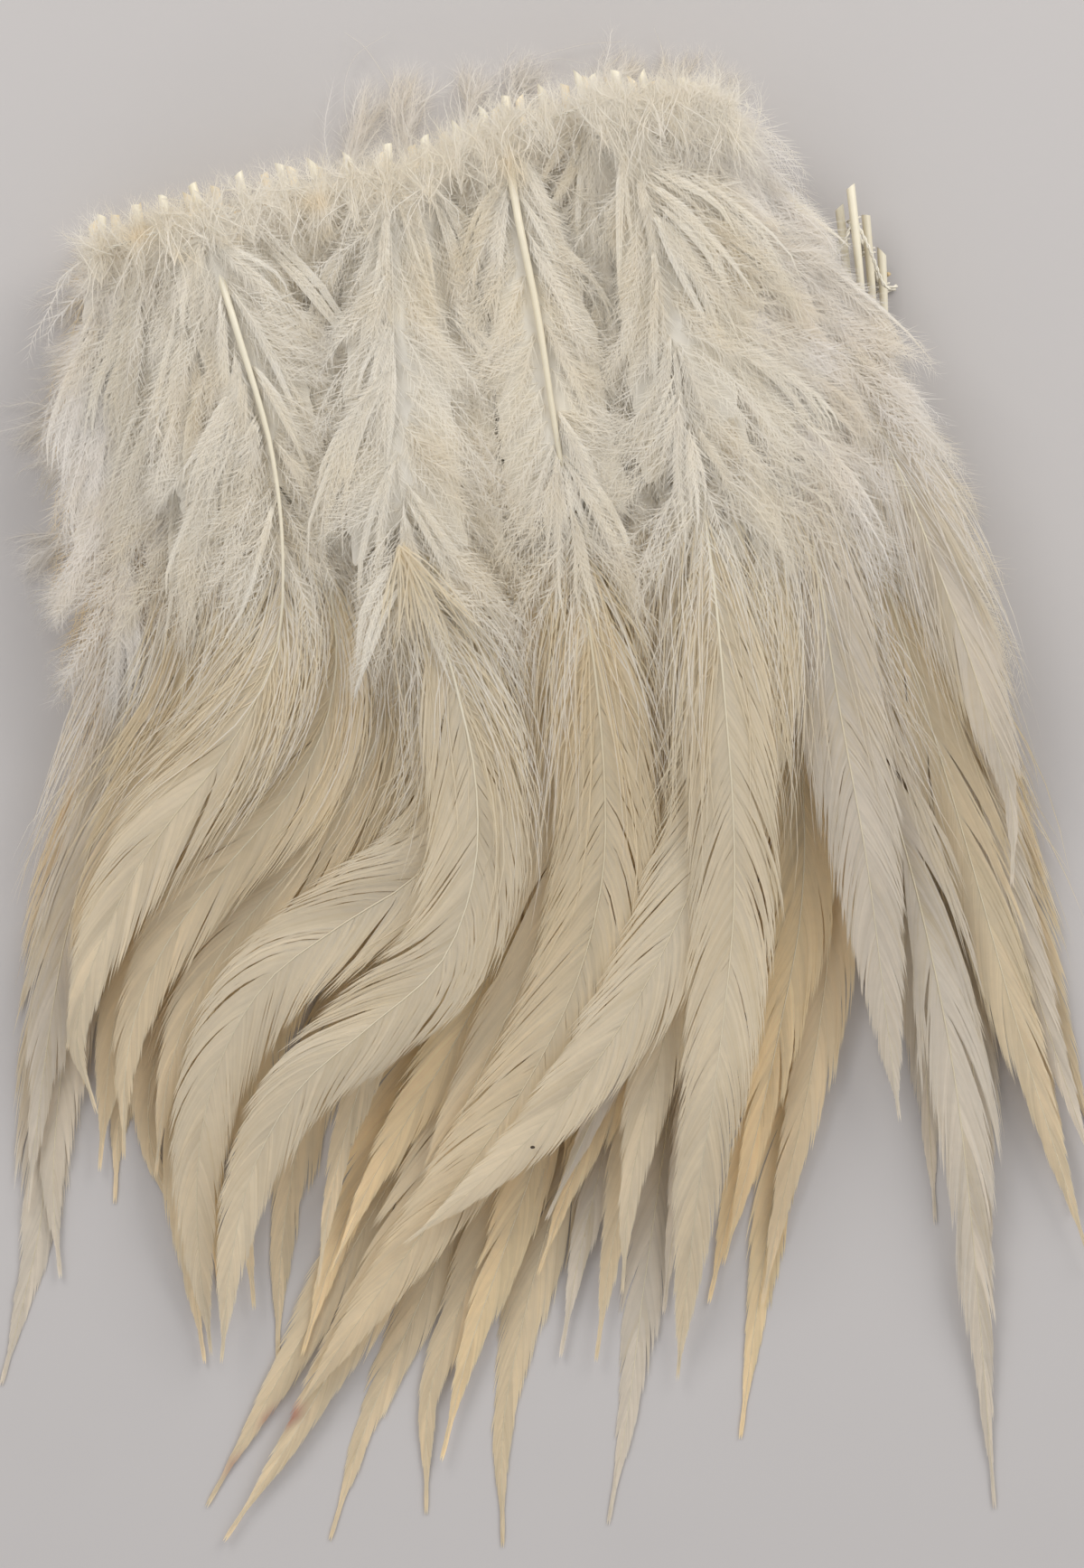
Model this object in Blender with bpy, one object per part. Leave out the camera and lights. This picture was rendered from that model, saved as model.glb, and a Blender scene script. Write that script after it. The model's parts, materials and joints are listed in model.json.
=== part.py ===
"""Strung rooster saddle hackle: ivory feathers sewn side by side through their quills on cotton
thread, with the string folded into a small pack that lies on a table.

Each feather is one solid that grew as one piece: a bare cut quill, a downy lower part with a lobed
edge, and a narrow vane that ends in a point. Three loops of thread hold three folds of the string.
The feathers are laid one after another, and each rests on what already lies under it.

Metres, +Z up. X runs along the string, +Y points at the cut quill ends, and the origin is on the
table, under the middle of the pack.
"""

from collections import namedtuple

import bpy
import numpy as np

MM = 0.001

# The driving dimensions, in millimetres
QUILL_RADIUS = 0.6
QUILL_BARE = 6.5  # bare shaft, from the cut end to the first down
DOWN_START = 9.0
DOWN_LEAST = 27.0  # the down ends this far along, and further along by a share of the length
DOWN_SHARE = 0.2
DOWN_TO_VANE = 5.0
DOWN_HEIGHT = 0.6  # down that other feathers press flat
DOWN_LOFT = 2.9  # how much higher free down stands
VANE_HEIGHT = 0.45
TIP_THINNING = 0.6
TIP_HALF_WIDTH = 0.2
LOBE_HOLLOW = 0.66  # width of the down between two lobes, as a share of the width at a lobe
LOBE_SWEEP = 2.4  # how far a lobe leans towards the tip
THREAD_RADIUS = 0.3
THREAD_SETBACK = 4.0  # from the cut quill ends to the seam
THREAD_OVERHANG = 1.6  # thread beyond the outermost quills of a fold
THREAD_TURN = 0.7  # how far the thread bulges where it turns back
THREAD_POINTS = 16

# How the pile is laid, in millimetres
LAY_GAP = 0.3
LAY_MARGIN = 0.5
FEATHER_DROOP = 0.3  # sag that a shaft allows between two stations
THREAD_DROOP = 0.5
SETTLING_STEPS = 500
CELL = 0.5
FIELD_LOW = np.array([-75.0, -95.0])
FIELD_HIGH = np.array([75.0, 95.0])
ROWS_BETWEEN = 24
ROWS_ACROSS = 49

DOWN_STATIONS = 8
VANE_STATIONS = 9
CURVE_STEPS = 12

# Plan shapes, as (share of the stretch, share of the half width)
DOWN_OUTLINE = ((0.0, 0.55), (0.3, 0.92), (0.65, 1.0), (1.0, 0.8))
VANE_OUTLINE = ((0.0, 0.75), (0.12, 0.95), (0.3, 1.0), (0.55, 0.82), (0.78, 0.5), (0.93, 0.2), (1.0, 0.0))

LOFT_OUTLINE = ((0.0, 0.15), (0.25, 0.85), (0.6, 1.0), (1.0, 0.45))

# Nothing lies on the down of these, so it stands up
FREE_DOWN = ("feather_upper_21", "feather_upper_23", "feather_upper_24")

# Finishes: colour, roughness
FINISHES = {
    "ivory": ((0.80, 0.76, 0.66), 0.55),
    "cream": ((0.78, 0.70, 0.54), 0.50),
    "gold": ((0.72, 0.58, 0.36), 0.48),
    "pearl": ((0.76, 0.74, 0.70), 0.55),
    "thread": ((0.82, 0.78, 0.68), 0.80),
}

# Where the cut quill ends lie, as (x, y)
UPPER_STRING = ((-51, 62.5), (-40, 65.8), (-30, 68.5), (-20, 69.8), (-12, 72), (-4, 76.0), (4, 78.5), (12, 78.5), (20, 76.5))
LOWER_STRING = ((29, 56.5), (30, 58), (31.2, 61.5), (33, 64.2), (34.2, 66.4), (36, 63.4), (37.8, 59.5), (39, 57.5))

Feather = namedtuple("Feather", "name finish root down vane route")
Fold = namedtuple("Fold", "thread string feathers")

# Each feather: name, finish, x of its quill end, half width of down, half width of vane, and the
# plan points that its shaft runs through, the last one at the tip. The first in a fold lies lowest.
RIGHT_FOLD = Fold("thread_right_fold", LOWER_STRING, (
    Feather("feather_right_01", "pearl", 30.0, 7.0, 4.0, ((31.5, 37), (33.5, 17), (35.2, -1), (36.2, -18), (38.5, -31))),
    Feather("feather_right_02", "cream", 37.8, 6.5, 4.2, ((39, 42), (44.2, 22), (48.5, 2), (51.5, -13), (55, -26))),
    Feather("feather_right_03", "pearl", 31.2, 7.5, 4.2, ((33.5, 39), (37, 15), (40, -8), (42.5, -28), (43.8, -47.5))),
    Feather("feather_right_04", "cream", 36.0, 6.8, 4.4, ((38, 42), (43.5, 19), (50, -2), (56, -21), (61.4, -39.2))),
    Feather("feather_right_05", "pearl", 33.0, 7.5, 4.5, ((36, 40), (41, 15), (45, -9), (48.2, -33), (50.2, -57.5))),
    Feather("feather_right_06", "cream", 34.2, 7.0, 4.5, ((37, 42), (42.5, 17), (48.5, -6), (54.5, -28), (59, -46))),
))

UNDER_FOLD = Fold("thread_under_fold", UPPER_STRING, (
    Feather("feather_under_01", "pearl", -50.0, 8, 5.0,
            ((-49.5, 42), (-47.5, 22), (-48, 2), (-52.5, -16), (-55, -33), (-56, -49), (-60, -65.5))),
    Feather("feather_under_02", "cream", -8.0, 9, 5.0,
            ((-4, 42), (0.5, 18), (2.5, 0), (1.2, -19), (-5, -37), (-13, -56), (-19.5, -71), (-23.3, -82.8))),
    Feather("feather_under_03", "pearl", 7.5, 9, 5.0,
            ((12.5, 42), (16, 18), (17, -1), (16, -21), (13.5, -41), (11.2, -57), (9.7, -69), (7.6, -81))),
    Feather("feather_under_04", "gold", -31.0, 9, 5.0,
            ((-25, 44), (-19, 21), (-18.5, 5), (-25, -6), (-31.5, -16), (-35.5, -28), (-37.2, -42), (-36, -55.5))),
    Feather("feather_under_05", "gold", 15.0, 8.5, 4.4,
            ((22, 42), (27.5, 18), (30.2, -1), (30, -19), (27.5, -35), (25, -51), (23.6, -61), (22.3, -71.4))),
    Feather("feather_under_06", "cream", 0.0, 9, 5.0,
            ((3.5, 42), (6.5, 18), (8, 0), (7.5, -19), (4, -37), (-1, -55), (-4.2, -70), (-4.4, -83.5))),
    Feather("feather_under_07", "cream", -39.5, 9, 4.6,
            ((-34, 44), (-28.5, 23), (-27.5, 8), (-32.5, -4), (-39.5, -15), (-44.5, -26), (-47, -36), (-47.6, -45.2))),
    Feather("feather_under_08", "cream", -25.0, 9, 4.6,
            ((-19, 43), (-14, 20), (-12.5, 3), (-16, -11), (-21.5, -24), (-26.5, -37), (-29, -51), (-29.5, -63))),
    Feather("feather_under_09", "cream", -14.5, 9, 5.2,
            ((-10, 42), (-5, 18), (-2, 0), (-4, -18), (-12, -35), (-22, -53), (-31, -69), (-36.8, -79.2))),
    Feather("feather_under_10", "pearl", -47.5, 8, 4.6,
            ((-46.5, 42), (-44.5, 22), (-45.5, 4), (-50, -13), (-53.5, -31), (-54.5, -45), (-53.8, -53.5))),
    Feather("feather_under_11", "pearl", 2.5, 9, 4.6,
            ((6.5, 42), (9, 18), (10.5, -1), (10, -21), (7, -40), (4, -53), (2.3, -62.3))),
    Feather("feather_under_12", "gold", 12.5, 9, 5.0,
            ((20, 42), (25, 18), (27.5, -1), (27.2, -19), (24.5, -33), (21.2, -46), (18.9, -56.3))),
    Feather("feather_under_13", "cream", -5.2, 9, 5.0,
            ((-1.5, 42), (2.5, 18), (4.2, 0), (3.2, -19), (-1.5, -37), (-8, -55), (-12.8, -69), (-12.9, -79.8))),
    Feather("feather_under_14", "cream", -36.5, 9, 4.8,
            ((-30.5, 44), (-24.5, 22), (-23.5, 7), (-28.5, -5), (-36, -15.5), (-41.5, -26.5), (-44.2, -37), (-40.8, -48.2))),
    Feather("feather_under_15", "gold", -18.0, 9, 5.0,
            ((-13.5, 42), (-8.5, 18), (-6, 1), (-8, -16), (-15, -32), (-21.5, -47), (-26.4, -62.2))),
    Feather("feather_under_16", "cream", -45.0, 8, 4.6,
            ((-41.5, 44), (-37.5, 23), (-37.5, 9), (-42.5, -2), (-48.5, -13), (-51.5, -22), (-51, -32))),
    Feather("feather_under_17", "pearl", 10.0, 9, 4.8,
            ((16, 42), (19.5, 18), (20.5, -1), (19.5, -21), (16.5, -40), (14.5, -50), (13.7, -57.5))),
    Feather("feather_under_18", "cream", -33.8, 9, 5.0,
            ((-27.5, 44), (-21.5, 22), (-20.5, 6), (-26, -6), (-34, -17), (-39.2, -29), (-40.2, -44), (-37.8, -63))),
    Feather("feather_under_19", "gold", -2.5, 9, 4.8,
            ((1, 42), (4.5, 18), (6, 0), (5, -19), (1, -36), (-4, -51), (-8.5, -64), (-10.9, -73.8))),
    Feather("feather_under_20", "cream", 17.2, 8.5, 4.0,
            ((24, 44), (29, 20), (31.8, 0), (32, -16), (30, -32), (27, -45), (24.8, -56.5))),
    Feather("feather_under_21", "cream", -11.0, 9, 5.2,
            ((-6.5, 42), (-2, 18), (0.5, 0), (-1, -19), (-8, -36), (-18, -55), (-27.5, -72), (-34.7, -83))),
    Feather("feather_under_22", "cream", 5.0, 9, 4.8,
            ((9.5, 42), (12, 18), (13.5, -1), (12.5, -21), (10, -40), (7.5, -53), (6.2, -62.7))),
    Feather("feather_under_23", "cream", -42.2, 9, 4.6,
            ((-37.5, 44), (-33, 23), (-32.5, 8), (-37.5, -4), (-43.5, -15), (-47.5, -26), (-49.2, -41.5))),
    Feather("feather_under_24", "cream", -28.0, 9, 4.8,
            ((-21.5, 44), (-16, 21), (-15, 5), (-20, -7), (-27, -17), (-31.5, -29), (-33, -43), (-32.2, -57))),
))

UPPER_FOLD = Fold("thread_upper_fold", UPPER_STRING, (
    Feather("feather_upper_01", "pearl", -48.8, 9, 5.0,
            ((-48.2, 44), (-46, 25), (-46, 10), (-49, -3), (-53, -17), (-55.5, -32), (-57.2, -46))),
    Feather("feather_upper_02", "gold", -9.5, 10, 5.0,
            ((-7, 44), (-4, 21), (-2.5, 2), (-4, -15), (-10, -29), (-18, -42), (-23, -53))),
    Feather("feather_upper_03", "gold", 13.5, 9, 4.2,
            ((22, 47), (26.2, 25), (28.5, 5), (29, -11), (26.8, -25), (24, -38), (20.5, -52))),
    Feather("feather_upper_04", "pearl", 18.3, 8, 4.4,
            ((26, 57), (35, 38), (42.5, 17), (49, -3), (55, -23), (61.4, -42.5))),
    Feather("feather_upper_05", "gold", 0.0, 10, 5.0,
            ((4, 44), (9, 21), (12.2, 2), (12.8, -13), (10, -28), (4, -42), (0, -53))),
    Feather("feather_upper_06", "cream", -25.5, 9, 4.8,
            ((-20, 44), (-16, 24), (-15.5, 10), (-20, -2), (-27, -11), (-33, -21), (-36, -33), (-36.2, -46))),
    Feather("feather_upper_07", "cream", 17.5, 8.5, 4.6,
            ((25, 56), (33.5, 35), (41, 13), (47.5, -8), (53.5, -29), (60.7, -51.8))),
    Feather("feather_upper_08", "cream", -6.5, 10, 5.0,
            ((-3.5, 44), (0, 22), (2, 2), (0, -15), (-5, -28), (-11, -41), (-15, -53))),
    Feather("feather_upper_09", "cream", -29.0, 9, 4.8,
            ((-23, 44), (-18, 23), (-17.5, 8), (-22.5, -3), (-30, -11.5), (-36.5, -20), (-41, -30), (-42.8, -42))),
    Feather("feather_upper_10", "pearl", 5.5, 10, 5.0,
            ((12, 45), (16.5, 25), (19, 7), (17.5, -9), (12, -23), (6, -36), (1, -47))),
    Feather("feather_upper_11", "pearl", 19.0, 7.5, 4.0,
            ((27, 58), (36.5, 41), (44, 23), (49.5, 7), (52, -2), (52.1, -9.8))),
    Feather("feather_upper_12", "cream", -21.5, 9, 3.2,
            ((-17, 42), (-12, 18), (-10, 1), (-13, -14), (-18, -27), (-22.5, -41), (-24.8, -54.4))),
    Feather("feather_upper_13", "cream", -45.0, 9, 4.6,
            ((-42.5, 44), (-39.5, 25), (-39.5, 11), (-43.5, 0), (-48.5, -11), (-51, -21), (-51.5, -30))),
    Feather("feather_upper_14", "cream", -33.5, 9, 4.8,
            ((-28, 44), (-23.5, 23), (-23, 10), (-28, -1), (-36, -10), (-43, -20), (-46, -30), (-46.4, -40))),
    Feather("feather_upper_15", "ivory", 4.0, 10, 5.0,
            ((10, 44), (15.5, 23), (17.8, 3), (17, -13), (13.5, -28), (10, -43), (9, -55))),
    Feather("feather_upper_16", "pearl", 16.5, 9, 4.6,
            ((23.5, 55), (29, 33), (34.5, 11), (41, -10), (45.6, -31), (48.2, -53), (50.4, -79.2))),
    Feather("feather_upper_17", "ivory", -42.0, 9, 4.6,
            ((-37.5, 45), (-33.5, 25), (-33, 13), (-37.5, 2), (-45, -8), (-50.5, -19), (-52.5, -28))),
    Feather("feather_upper_18", "ivory", -13.0, 10, 5.6,
            ((-11, 47), (-10, 22), (-8.5, 6), (-10.8, -6.5), (-20, -13.8), (-30, -21.2), (-36.2, -32),
             (-38.4, -46), (-37, -62))),
    Feather("feather_upper_19", "cream", -4.0, 11, 5.6,
            ((-3.2, 65.5), (-0.5, 52), (1.5, 39), (4.5, 22), (6.7, 4), (6.4, -12), (1.5, -27), (-7.5, -41.5),
             (-18, -56), (-27, -69))),
    Feather("feather_upper_20", "pearl", 15.2, 10, 4.8,
            ((24, 53), (29, 31), (32.5, 10), (35.8, -8), (37.8, -23), (39.5, -35.8))),
    Feather("feather_upper_21", "ivory", -38.5, 10, 5.0,
            ((-33, 48.5), (-29.7, 37), (-28.4, 25), (-29.5, 14), (-35, 3.5), (-43, -6.5), (-48.5, -17),
             (-51.5, -27), (-49.8, -35))),
    Feather("feather_upper_22", "ivory", 11.0, 10, 5.6,
            ((19, 52), (23.5, 30), (23.8, 16), (20.2, 0), (14.2, -16.5), (5.2, -31.5), (-4.8, -42), (-14.2, -49.8))),
    Feather("feather_upper_23", "ivory", -17.0, 11, 5.4,
            ((-16, 47), (-14.5, 26), (-10, 13), (-7.2, -1), (-9.2, -16.5), (-19, -26.5), (-29, -36), (-33.8, -49),
             (-35.5, -62.7))),
    Feather("feather_upper_24", "ivory", 8.0, 10, 5.0,
            ((14.5, 49), (18.5, 25), (20.5, 4), (21.2, -11), (19.7, -28), (17.1, -46), (15.2, -64.8))),
))

FOLDS = (RIGHT_FOLD, UNDER_FOLD, UPPER_FOLD)


def clear_scene():
    for obj in list(bpy.data.objects):
        bpy.data.objects.remove(obj)


def shaped(outline, share):
    """Reads an outline given as (share, value) pairs."""
    at, value = zip(*outline)
    return np.interp(share, at, value)


def smooth_curve(points):
    """(dense points, distance along them) of a smooth curve through plan points."""
    points = np.array(points, float)
    held = [2 * points[0] - points[1], *points, 2 * points[-1] - points[-2]]
    dense = []
    for a, b, c, d in zip(held, held[1:], held[2:], held[3:]):
        for t in np.arange(CURVE_STEPS) / CURVE_STEPS:
            bent = (2 * a - 5 * b + 4 * c - d) * t**2 + (3 * b - a - 3 * c + d) * t**3
            dense.append((2 * b + (c - a) * t + bent) / 2)
    dense = np.array([*dense, points[-1]])
    steps = np.linalg.norm(np.diff(dense, axis=0), axis=1)
    return dense, np.concatenate([[0], np.cumsum(steps)])


def along(dense, run, distances):
    return np.column_stack([np.interp(distances, run, dense[:, k]) for k in (0, 1)])


def stations_of(length):
    """(distances from the cut end at which a feather's section is given, how far its down reaches)."""
    down_end = DOWN_LEAST + DOWN_SHARE * length
    places = np.concatenate([
        [0.0, QUILL_BARE],
        np.linspace(DOWN_START, down_end, DOWN_STATIONS + 1),
        np.linspace(down_end + DOWN_TO_VANE, length, VANE_STATIONS),
    ])
    return places, down_end


def vane_share(places, down_end):
    """How far along the vane each place lies, from 0 at its start to 1 at the tip."""
    vane_start = down_end + DOWN_TO_VANE
    return np.clip((places - vane_start) / (places[-1] - vane_start), 0, 1)


def half_widths(feather, places, down_end):
    """Half width at each station: a bare quill, lobed down, then a vane that narrows to the tip."""
    down_share = (places - DOWN_START) / (down_end - DOWN_START)
    down = feather.down * shaped(DOWN_OUTLINE, down_share)
    down[3:-VANE_STATIONS:2] *= LOBE_HOLLOW
    vane = TIP_HALF_WIDTH + feather.vane * shaped(VANE_OUTLINE, vane_share(places, down_end))
    width = np.where(places > down_end, vane, down)
    width[:2] = QUILL_RADIUS
    width[2] = min(width[2], QUILL_RADIUS * 3)
    return width


def heights(feather, places, down_end):
    """(height of the edges, height of the ridge) over the underside, at each station."""
    vane = VANE_HEIGHT * (1 - TIP_THINNING * vane_share(places, down_end))
    down_share = (places - DOWN_START) / (down_end - DOWN_START)
    loft = DOWN_LOFT if feather.name in FREE_DOWN else 0
    down = DOWN_HEIGHT + loft * shaped(LOFT_OUTLINE, down_share)
    ridge = np.where(places > down_end, vane, down)
    ridge[:2] = 2 * QUILL_RADIUS
    edge = np.zeros(len(places))
    edge[:2] = QUILL_RADIUS
    return edge, ridge


class Pile:
    """The height of what lies on the table, over a square grid in plan."""

    def __init__(self):
        self.top = np.zeros(np.ceil((FIELD_HIGH - FIELD_LOW) / CELL).astype(int))

    def cells(self, spots):
        found = ((spots - FIELD_LOW) / CELL).astype(int)
        return found[..., 0], found[..., 1]

    def rows(self, left, middle, right):
        """Spots across the footprint, in rows between stations, and each spot's share from ridge to edge."""
        rise = np.arange(0, len(middle) - 1 + 1e-6, 1 / ROWS_BETWEEN)
        start = np.minimum(rise.astype(int), len(middle) - 2)
        share = (rise - start)[:, None]
        a, m, b = (side[start] * (1 - share) + side[start + 1] * share for side in (left, middle, right))
        across = np.linspace(-1, 1, ROWS_ACROSS)[None, :, None]
        edge = np.where(across < 0, a[:, None], b[:, None])
        reach = edge - m[:, None]
        length = np.linalg.norm(reach, axis=2, keepdims=True)
        grown = reach * (1 + LAY_MARGIN / np.maximum(length, 1e-6))
        return m[:, None] + grown * np.abs(across), rise, np.abs(across[..., 0])

    def rest(self, left, middle, right, edge, ridge, droop):
        """Lays a strip on the pile and returns the height of its underside at each station."""
        spots, rise, across = self.rows(left, middle, right)
        row_need = self.top[self.cells(spots)].max(axis=1)
        stations = np.arange(len(middle))
        near = np.abs(rise[None] - stations[:, None]) < 1
        need = np.where(near, row_need[None], 0).max(axis=1)
        under = need.copy()
        for _ in range(SETTLING_STEPS):
            bridged = (under[:-2] + under[2:]) / 2 - droop
            under[1:-1] = np.maximum(need[1:-1], bridged)
            under[0] = max(need[0], 2 * under[1] - under[2] - 2 * droop)
            under[-1] = max(need[-1], 2 * under[-2] - under[-3] - 2 * droop)
        base = np.interp(rise, stations, under)[:, None]
        low = np.interp(rise, stations, edge)[:, None]
        high = np.interp(rise, stations, ridge)[:, None]
        covered = base + low + (high - low) * (1 - across) + LAY_GAP
        np.maximum.at(self.top, self.cells(spots), covered)
        return under


def finish_material(name, finish):
    colour, roughness = FINISHES[finish]
    material = bpy.data.materials.new(name)
    material.use_nodes = True
    shader = material.node_tree.nodes["Principled BSDF"]
    shader.inputs["Base Color"].default_value = (*colour, 1)
    shader.inputs["Roughness"].default_value = roughness
    shader.inputs["Metallic"].default_value = 0
    return material


def add_object(name, mesh, finish, collection):
    obj = bpy.data.objects.new(name, mesh)
    mesh.materials.append(finish_material(name, finish))
    collection.objects.link(obj)
    return obj


def lofted(name, rings):
    """A closed mesh through rings of equal count, with a flat cap on the first and the last."""
    count = len(rings[0])
    faces = [tuple(reversed(range(count)))]
    for i in range(len(rings) - 1):
        for k in range(count):
            a, b = i * count + k, i * count + (k + 1) % count
            faces.append((a, b, b + count, a + count))
    faces.append(tuple(range((len(rings) - 1) * count, len(rings) * count)))
    mesh = bpy.data.meshes.new(name)
    mesh.from_pydata(np.concatenate(rings).tolist(), [], faces)
    mesh.update()
    return mesh


def shaft_curve(feather, string):
    """(dense points, distance along them) of a feather's shaft in plan."""
    x, y = zip(*string)
    root = (feather.root, np.interp(feather.root, x, y))
    return smooth_curve([root, *feather.route])


def feather_plan(feather, string):
    """(left edge, shaft, right edge, edge heights, ridge heights) of a feather, in plan."""
    dense, run = shaft_curve(feather, string)
    places, down_end = stations_of(run[-1])
    shaft = along(dense, run, places)
    ahead = along(dense, run, places + 0.5) - along(dense, run, places - 0.5)
    ahead /= np.linalg.norm(ahead, axis=1, keepdims=True)
    left_hand = np.column_stack([-ahead[:, 1], ahead[:, 0]])
    width = half_widths(feather, places, down_end)[:, None]
    is_lobe = np.zeros(len(places))
    is_lobe[4:-VANE_STATIONS:2] = 1
    lean = ahead * (is_lobe * LOBE_SWEEP)[:, None]
    edge, ridge = heights(feather, places, down_end)
    return shaft + left_hand * width + lean, shaft, shaft - left_hand * width + lean, edge, ridge


def make_feather(feather, string, pile, collection):
    left, shaft, right, edge, ridge = feather_plan(feather, string)
    under = pile.rest(left, shaft, right, edge, ridge, FEATHER_DROOP)
    sides = ((right, under + edge), (shaft, under), (left, under + edge), (shaft, under + ridge))
    rings = np.stack([np.column_stack([plan, height]) for plan, height in sides], axis=1)
    add_object(feather.name, lofted(feather.name, rings * MM), feather.finish, collection)


def thread_route(fold):
    """Plan points that the thread of a fold runs through, from its left end to its right end."""
    crossings = []
    for feather in fold.feathers:
        dense, run = shaft_curve(feather, fold.string)
        crossings.append(along(dense, run, np.array([THREAD_SETBACK]))[0])
    crossings.sort(key=lambda point: point[0])
    overhang = np.array([THREAD_OVERHANG, 0])
    route = np.array([crossings[0] - overhang, *crossings, crossings[-1] + overhang])
    run = np.concatenate([[0], np.cumsum(np.linalg.norm(np.diff(route, axis=0), axis=1))])
    return along(route, run, np.linspace(0, run[-1], THREAD_POINTS))


def thread_pass(fold, pile):
    """One run of thread across the quills of a fold, lying on the pile: its centre line."""
    line = thread_route(fold)
    ahead = np.gradient(line, axis=0)
    ahead /= np.linalg.norm(ahead, axis=1, keepdims=True)
    side = np.column_stack([-ahead[:, 1], ahead[:, 0]]) * THREAD_RADIUS
    flat = np.full(len(line), 2 * THREAD_RADIUS)
    under = pile.rest(line + side, line, line - side, flat, flat, THREAD_DROOP)
    return np.column_stack([line, under + THREAD_RADIUS])


def make_thread(fold, below, above, collection):
    """The thread of a fold: a closed loop that runs under its quills and back over them."""
    turns = []
    for end, outward in ((-1, 1), (0, -1)):
        middle = (below[end] + above[end]) / 2
        turns.append(middle + [outward * THREAD_TURN, 0, 0])
    points = [*below, turns[0], *above[::-1], turns[1]]
    curve = bpy.data.curves.new(fold.thread, "CURVE")
    curve.dimensions = "3D"
    curve.bevel_depth = THREAD_RADIUS * MM
    curve.bevel_resolution = 2
    spline = curve.splines.new("POLY")
    spline.points.add(len(points) - 1)
    for spot, point in zip(spline.points, points):
        spot.co = (*(np.array(point) * MM), 1)
    spline.use_cyclic_u = True
    add_object(fold.thread, curve, "thread", collection)


def main():
    clear_scene()
    collection = bpy.data.collections.new("saddle_hackle")
    bpy.context.scene.collection.children.link(collection)
    pile = Pile()
    for fold in FOLDS:
        below = thread_pass(fold, pile)
        for feather in fold.feathers:
            make_feather(feather, fold.string, pile, collection)
        above = thread_pass(fold, pile)
        make_thread(fold, below, above, collection)


main()
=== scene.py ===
"""Looks of a strung bunch of rooster saddle hackle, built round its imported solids.

Every feather is read from its own solid: the line and height of its shaft, and how wide its down
and its vane are. Round that shaft it gets its horn quill, down barbs with their barbules, and vane
barbs that lie in clumps, split and end in a fringe. Thread, glue and loose fluff hold the string.

Lengths inside are millimetres, and metres in the settings and in the finished meshes. X runs along
the string, +Y points at the cut quill ends, and +Z is up.
"""

import json
import zlib
from collections import namedtuple

import bpy
import numpy as np
from bpy.props import FloatProperty, FloatVectorProperty, PointerProperty
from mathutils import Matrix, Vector
from mathutils.bvhtree import BVHTree


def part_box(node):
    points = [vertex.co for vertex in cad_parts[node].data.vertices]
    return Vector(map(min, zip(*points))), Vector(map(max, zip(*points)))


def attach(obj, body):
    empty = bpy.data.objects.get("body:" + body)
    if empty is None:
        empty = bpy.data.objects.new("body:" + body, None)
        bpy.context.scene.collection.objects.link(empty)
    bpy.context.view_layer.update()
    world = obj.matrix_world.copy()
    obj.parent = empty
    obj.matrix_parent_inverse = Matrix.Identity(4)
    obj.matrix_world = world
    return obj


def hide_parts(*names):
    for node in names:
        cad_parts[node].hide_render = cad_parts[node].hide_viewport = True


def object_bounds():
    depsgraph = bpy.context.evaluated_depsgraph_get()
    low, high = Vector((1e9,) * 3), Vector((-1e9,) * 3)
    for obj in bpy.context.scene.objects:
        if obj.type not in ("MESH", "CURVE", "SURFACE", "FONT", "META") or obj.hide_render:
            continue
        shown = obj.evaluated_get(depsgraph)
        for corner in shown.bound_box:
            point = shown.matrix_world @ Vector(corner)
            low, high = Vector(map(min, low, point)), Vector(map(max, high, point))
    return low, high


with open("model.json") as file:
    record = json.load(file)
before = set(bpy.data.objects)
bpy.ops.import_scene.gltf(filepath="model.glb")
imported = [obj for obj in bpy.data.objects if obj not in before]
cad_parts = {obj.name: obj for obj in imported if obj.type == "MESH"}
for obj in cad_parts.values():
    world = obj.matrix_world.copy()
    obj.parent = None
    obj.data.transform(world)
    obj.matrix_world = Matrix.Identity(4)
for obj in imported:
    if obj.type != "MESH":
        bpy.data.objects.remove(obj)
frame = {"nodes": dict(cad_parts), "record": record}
CAD_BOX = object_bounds()

bl_info = {
    "name": "Strung Saddle Hackle",
    "version": (1, 0, 0),
    "blender": (4, 5, 0),
    "location": "3D View > Sidebar > Hackle",
    "description": "Dresses a strung bunch of saddle hackle with quills, down, vanes, thread and glue",
    "category": "Object",
}

MM = 0.001

# How a feather's solid is laid out along its shaft, from the cut end
DOWN_START = 9.0
DOWN_LEAST = 27.0
DOWN_SHARE = 0.2
DOWN_TO_VANE = 5.0
THREAD_SETBACK = 4.0
DOWN_OUTLINE = ((0.0, 0.55), (0.3, 0.92), (0.65, 1.0), (1.0, 0.8))
VANE_OUTLINE = ((0.0, 0.75), (0.12, 0.95), (0.3, 1.0), (0.55, 0.82), (0.78, 0.5), (0.93, 0.2), (1.0, 0.0))
LEVEL = 0.05  # a face whose normal rises or falls less than this looks neither up nor down
VANE_EDGE_FROM = 3.5  # past the end of the down, edges of the solid belong to the vane

# Reading a shaft
CURVE_STEPS = 12
SHAFT_STEP = 0.25
SHAFT_SPARE = 40.0  # the line runs on straight this far past both ends
HEIGHT_SMOOTHING = 3.0  # steps in height are eased over about this length
LEAST_HEIGHT = 0.06  # of anything over the floor

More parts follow.
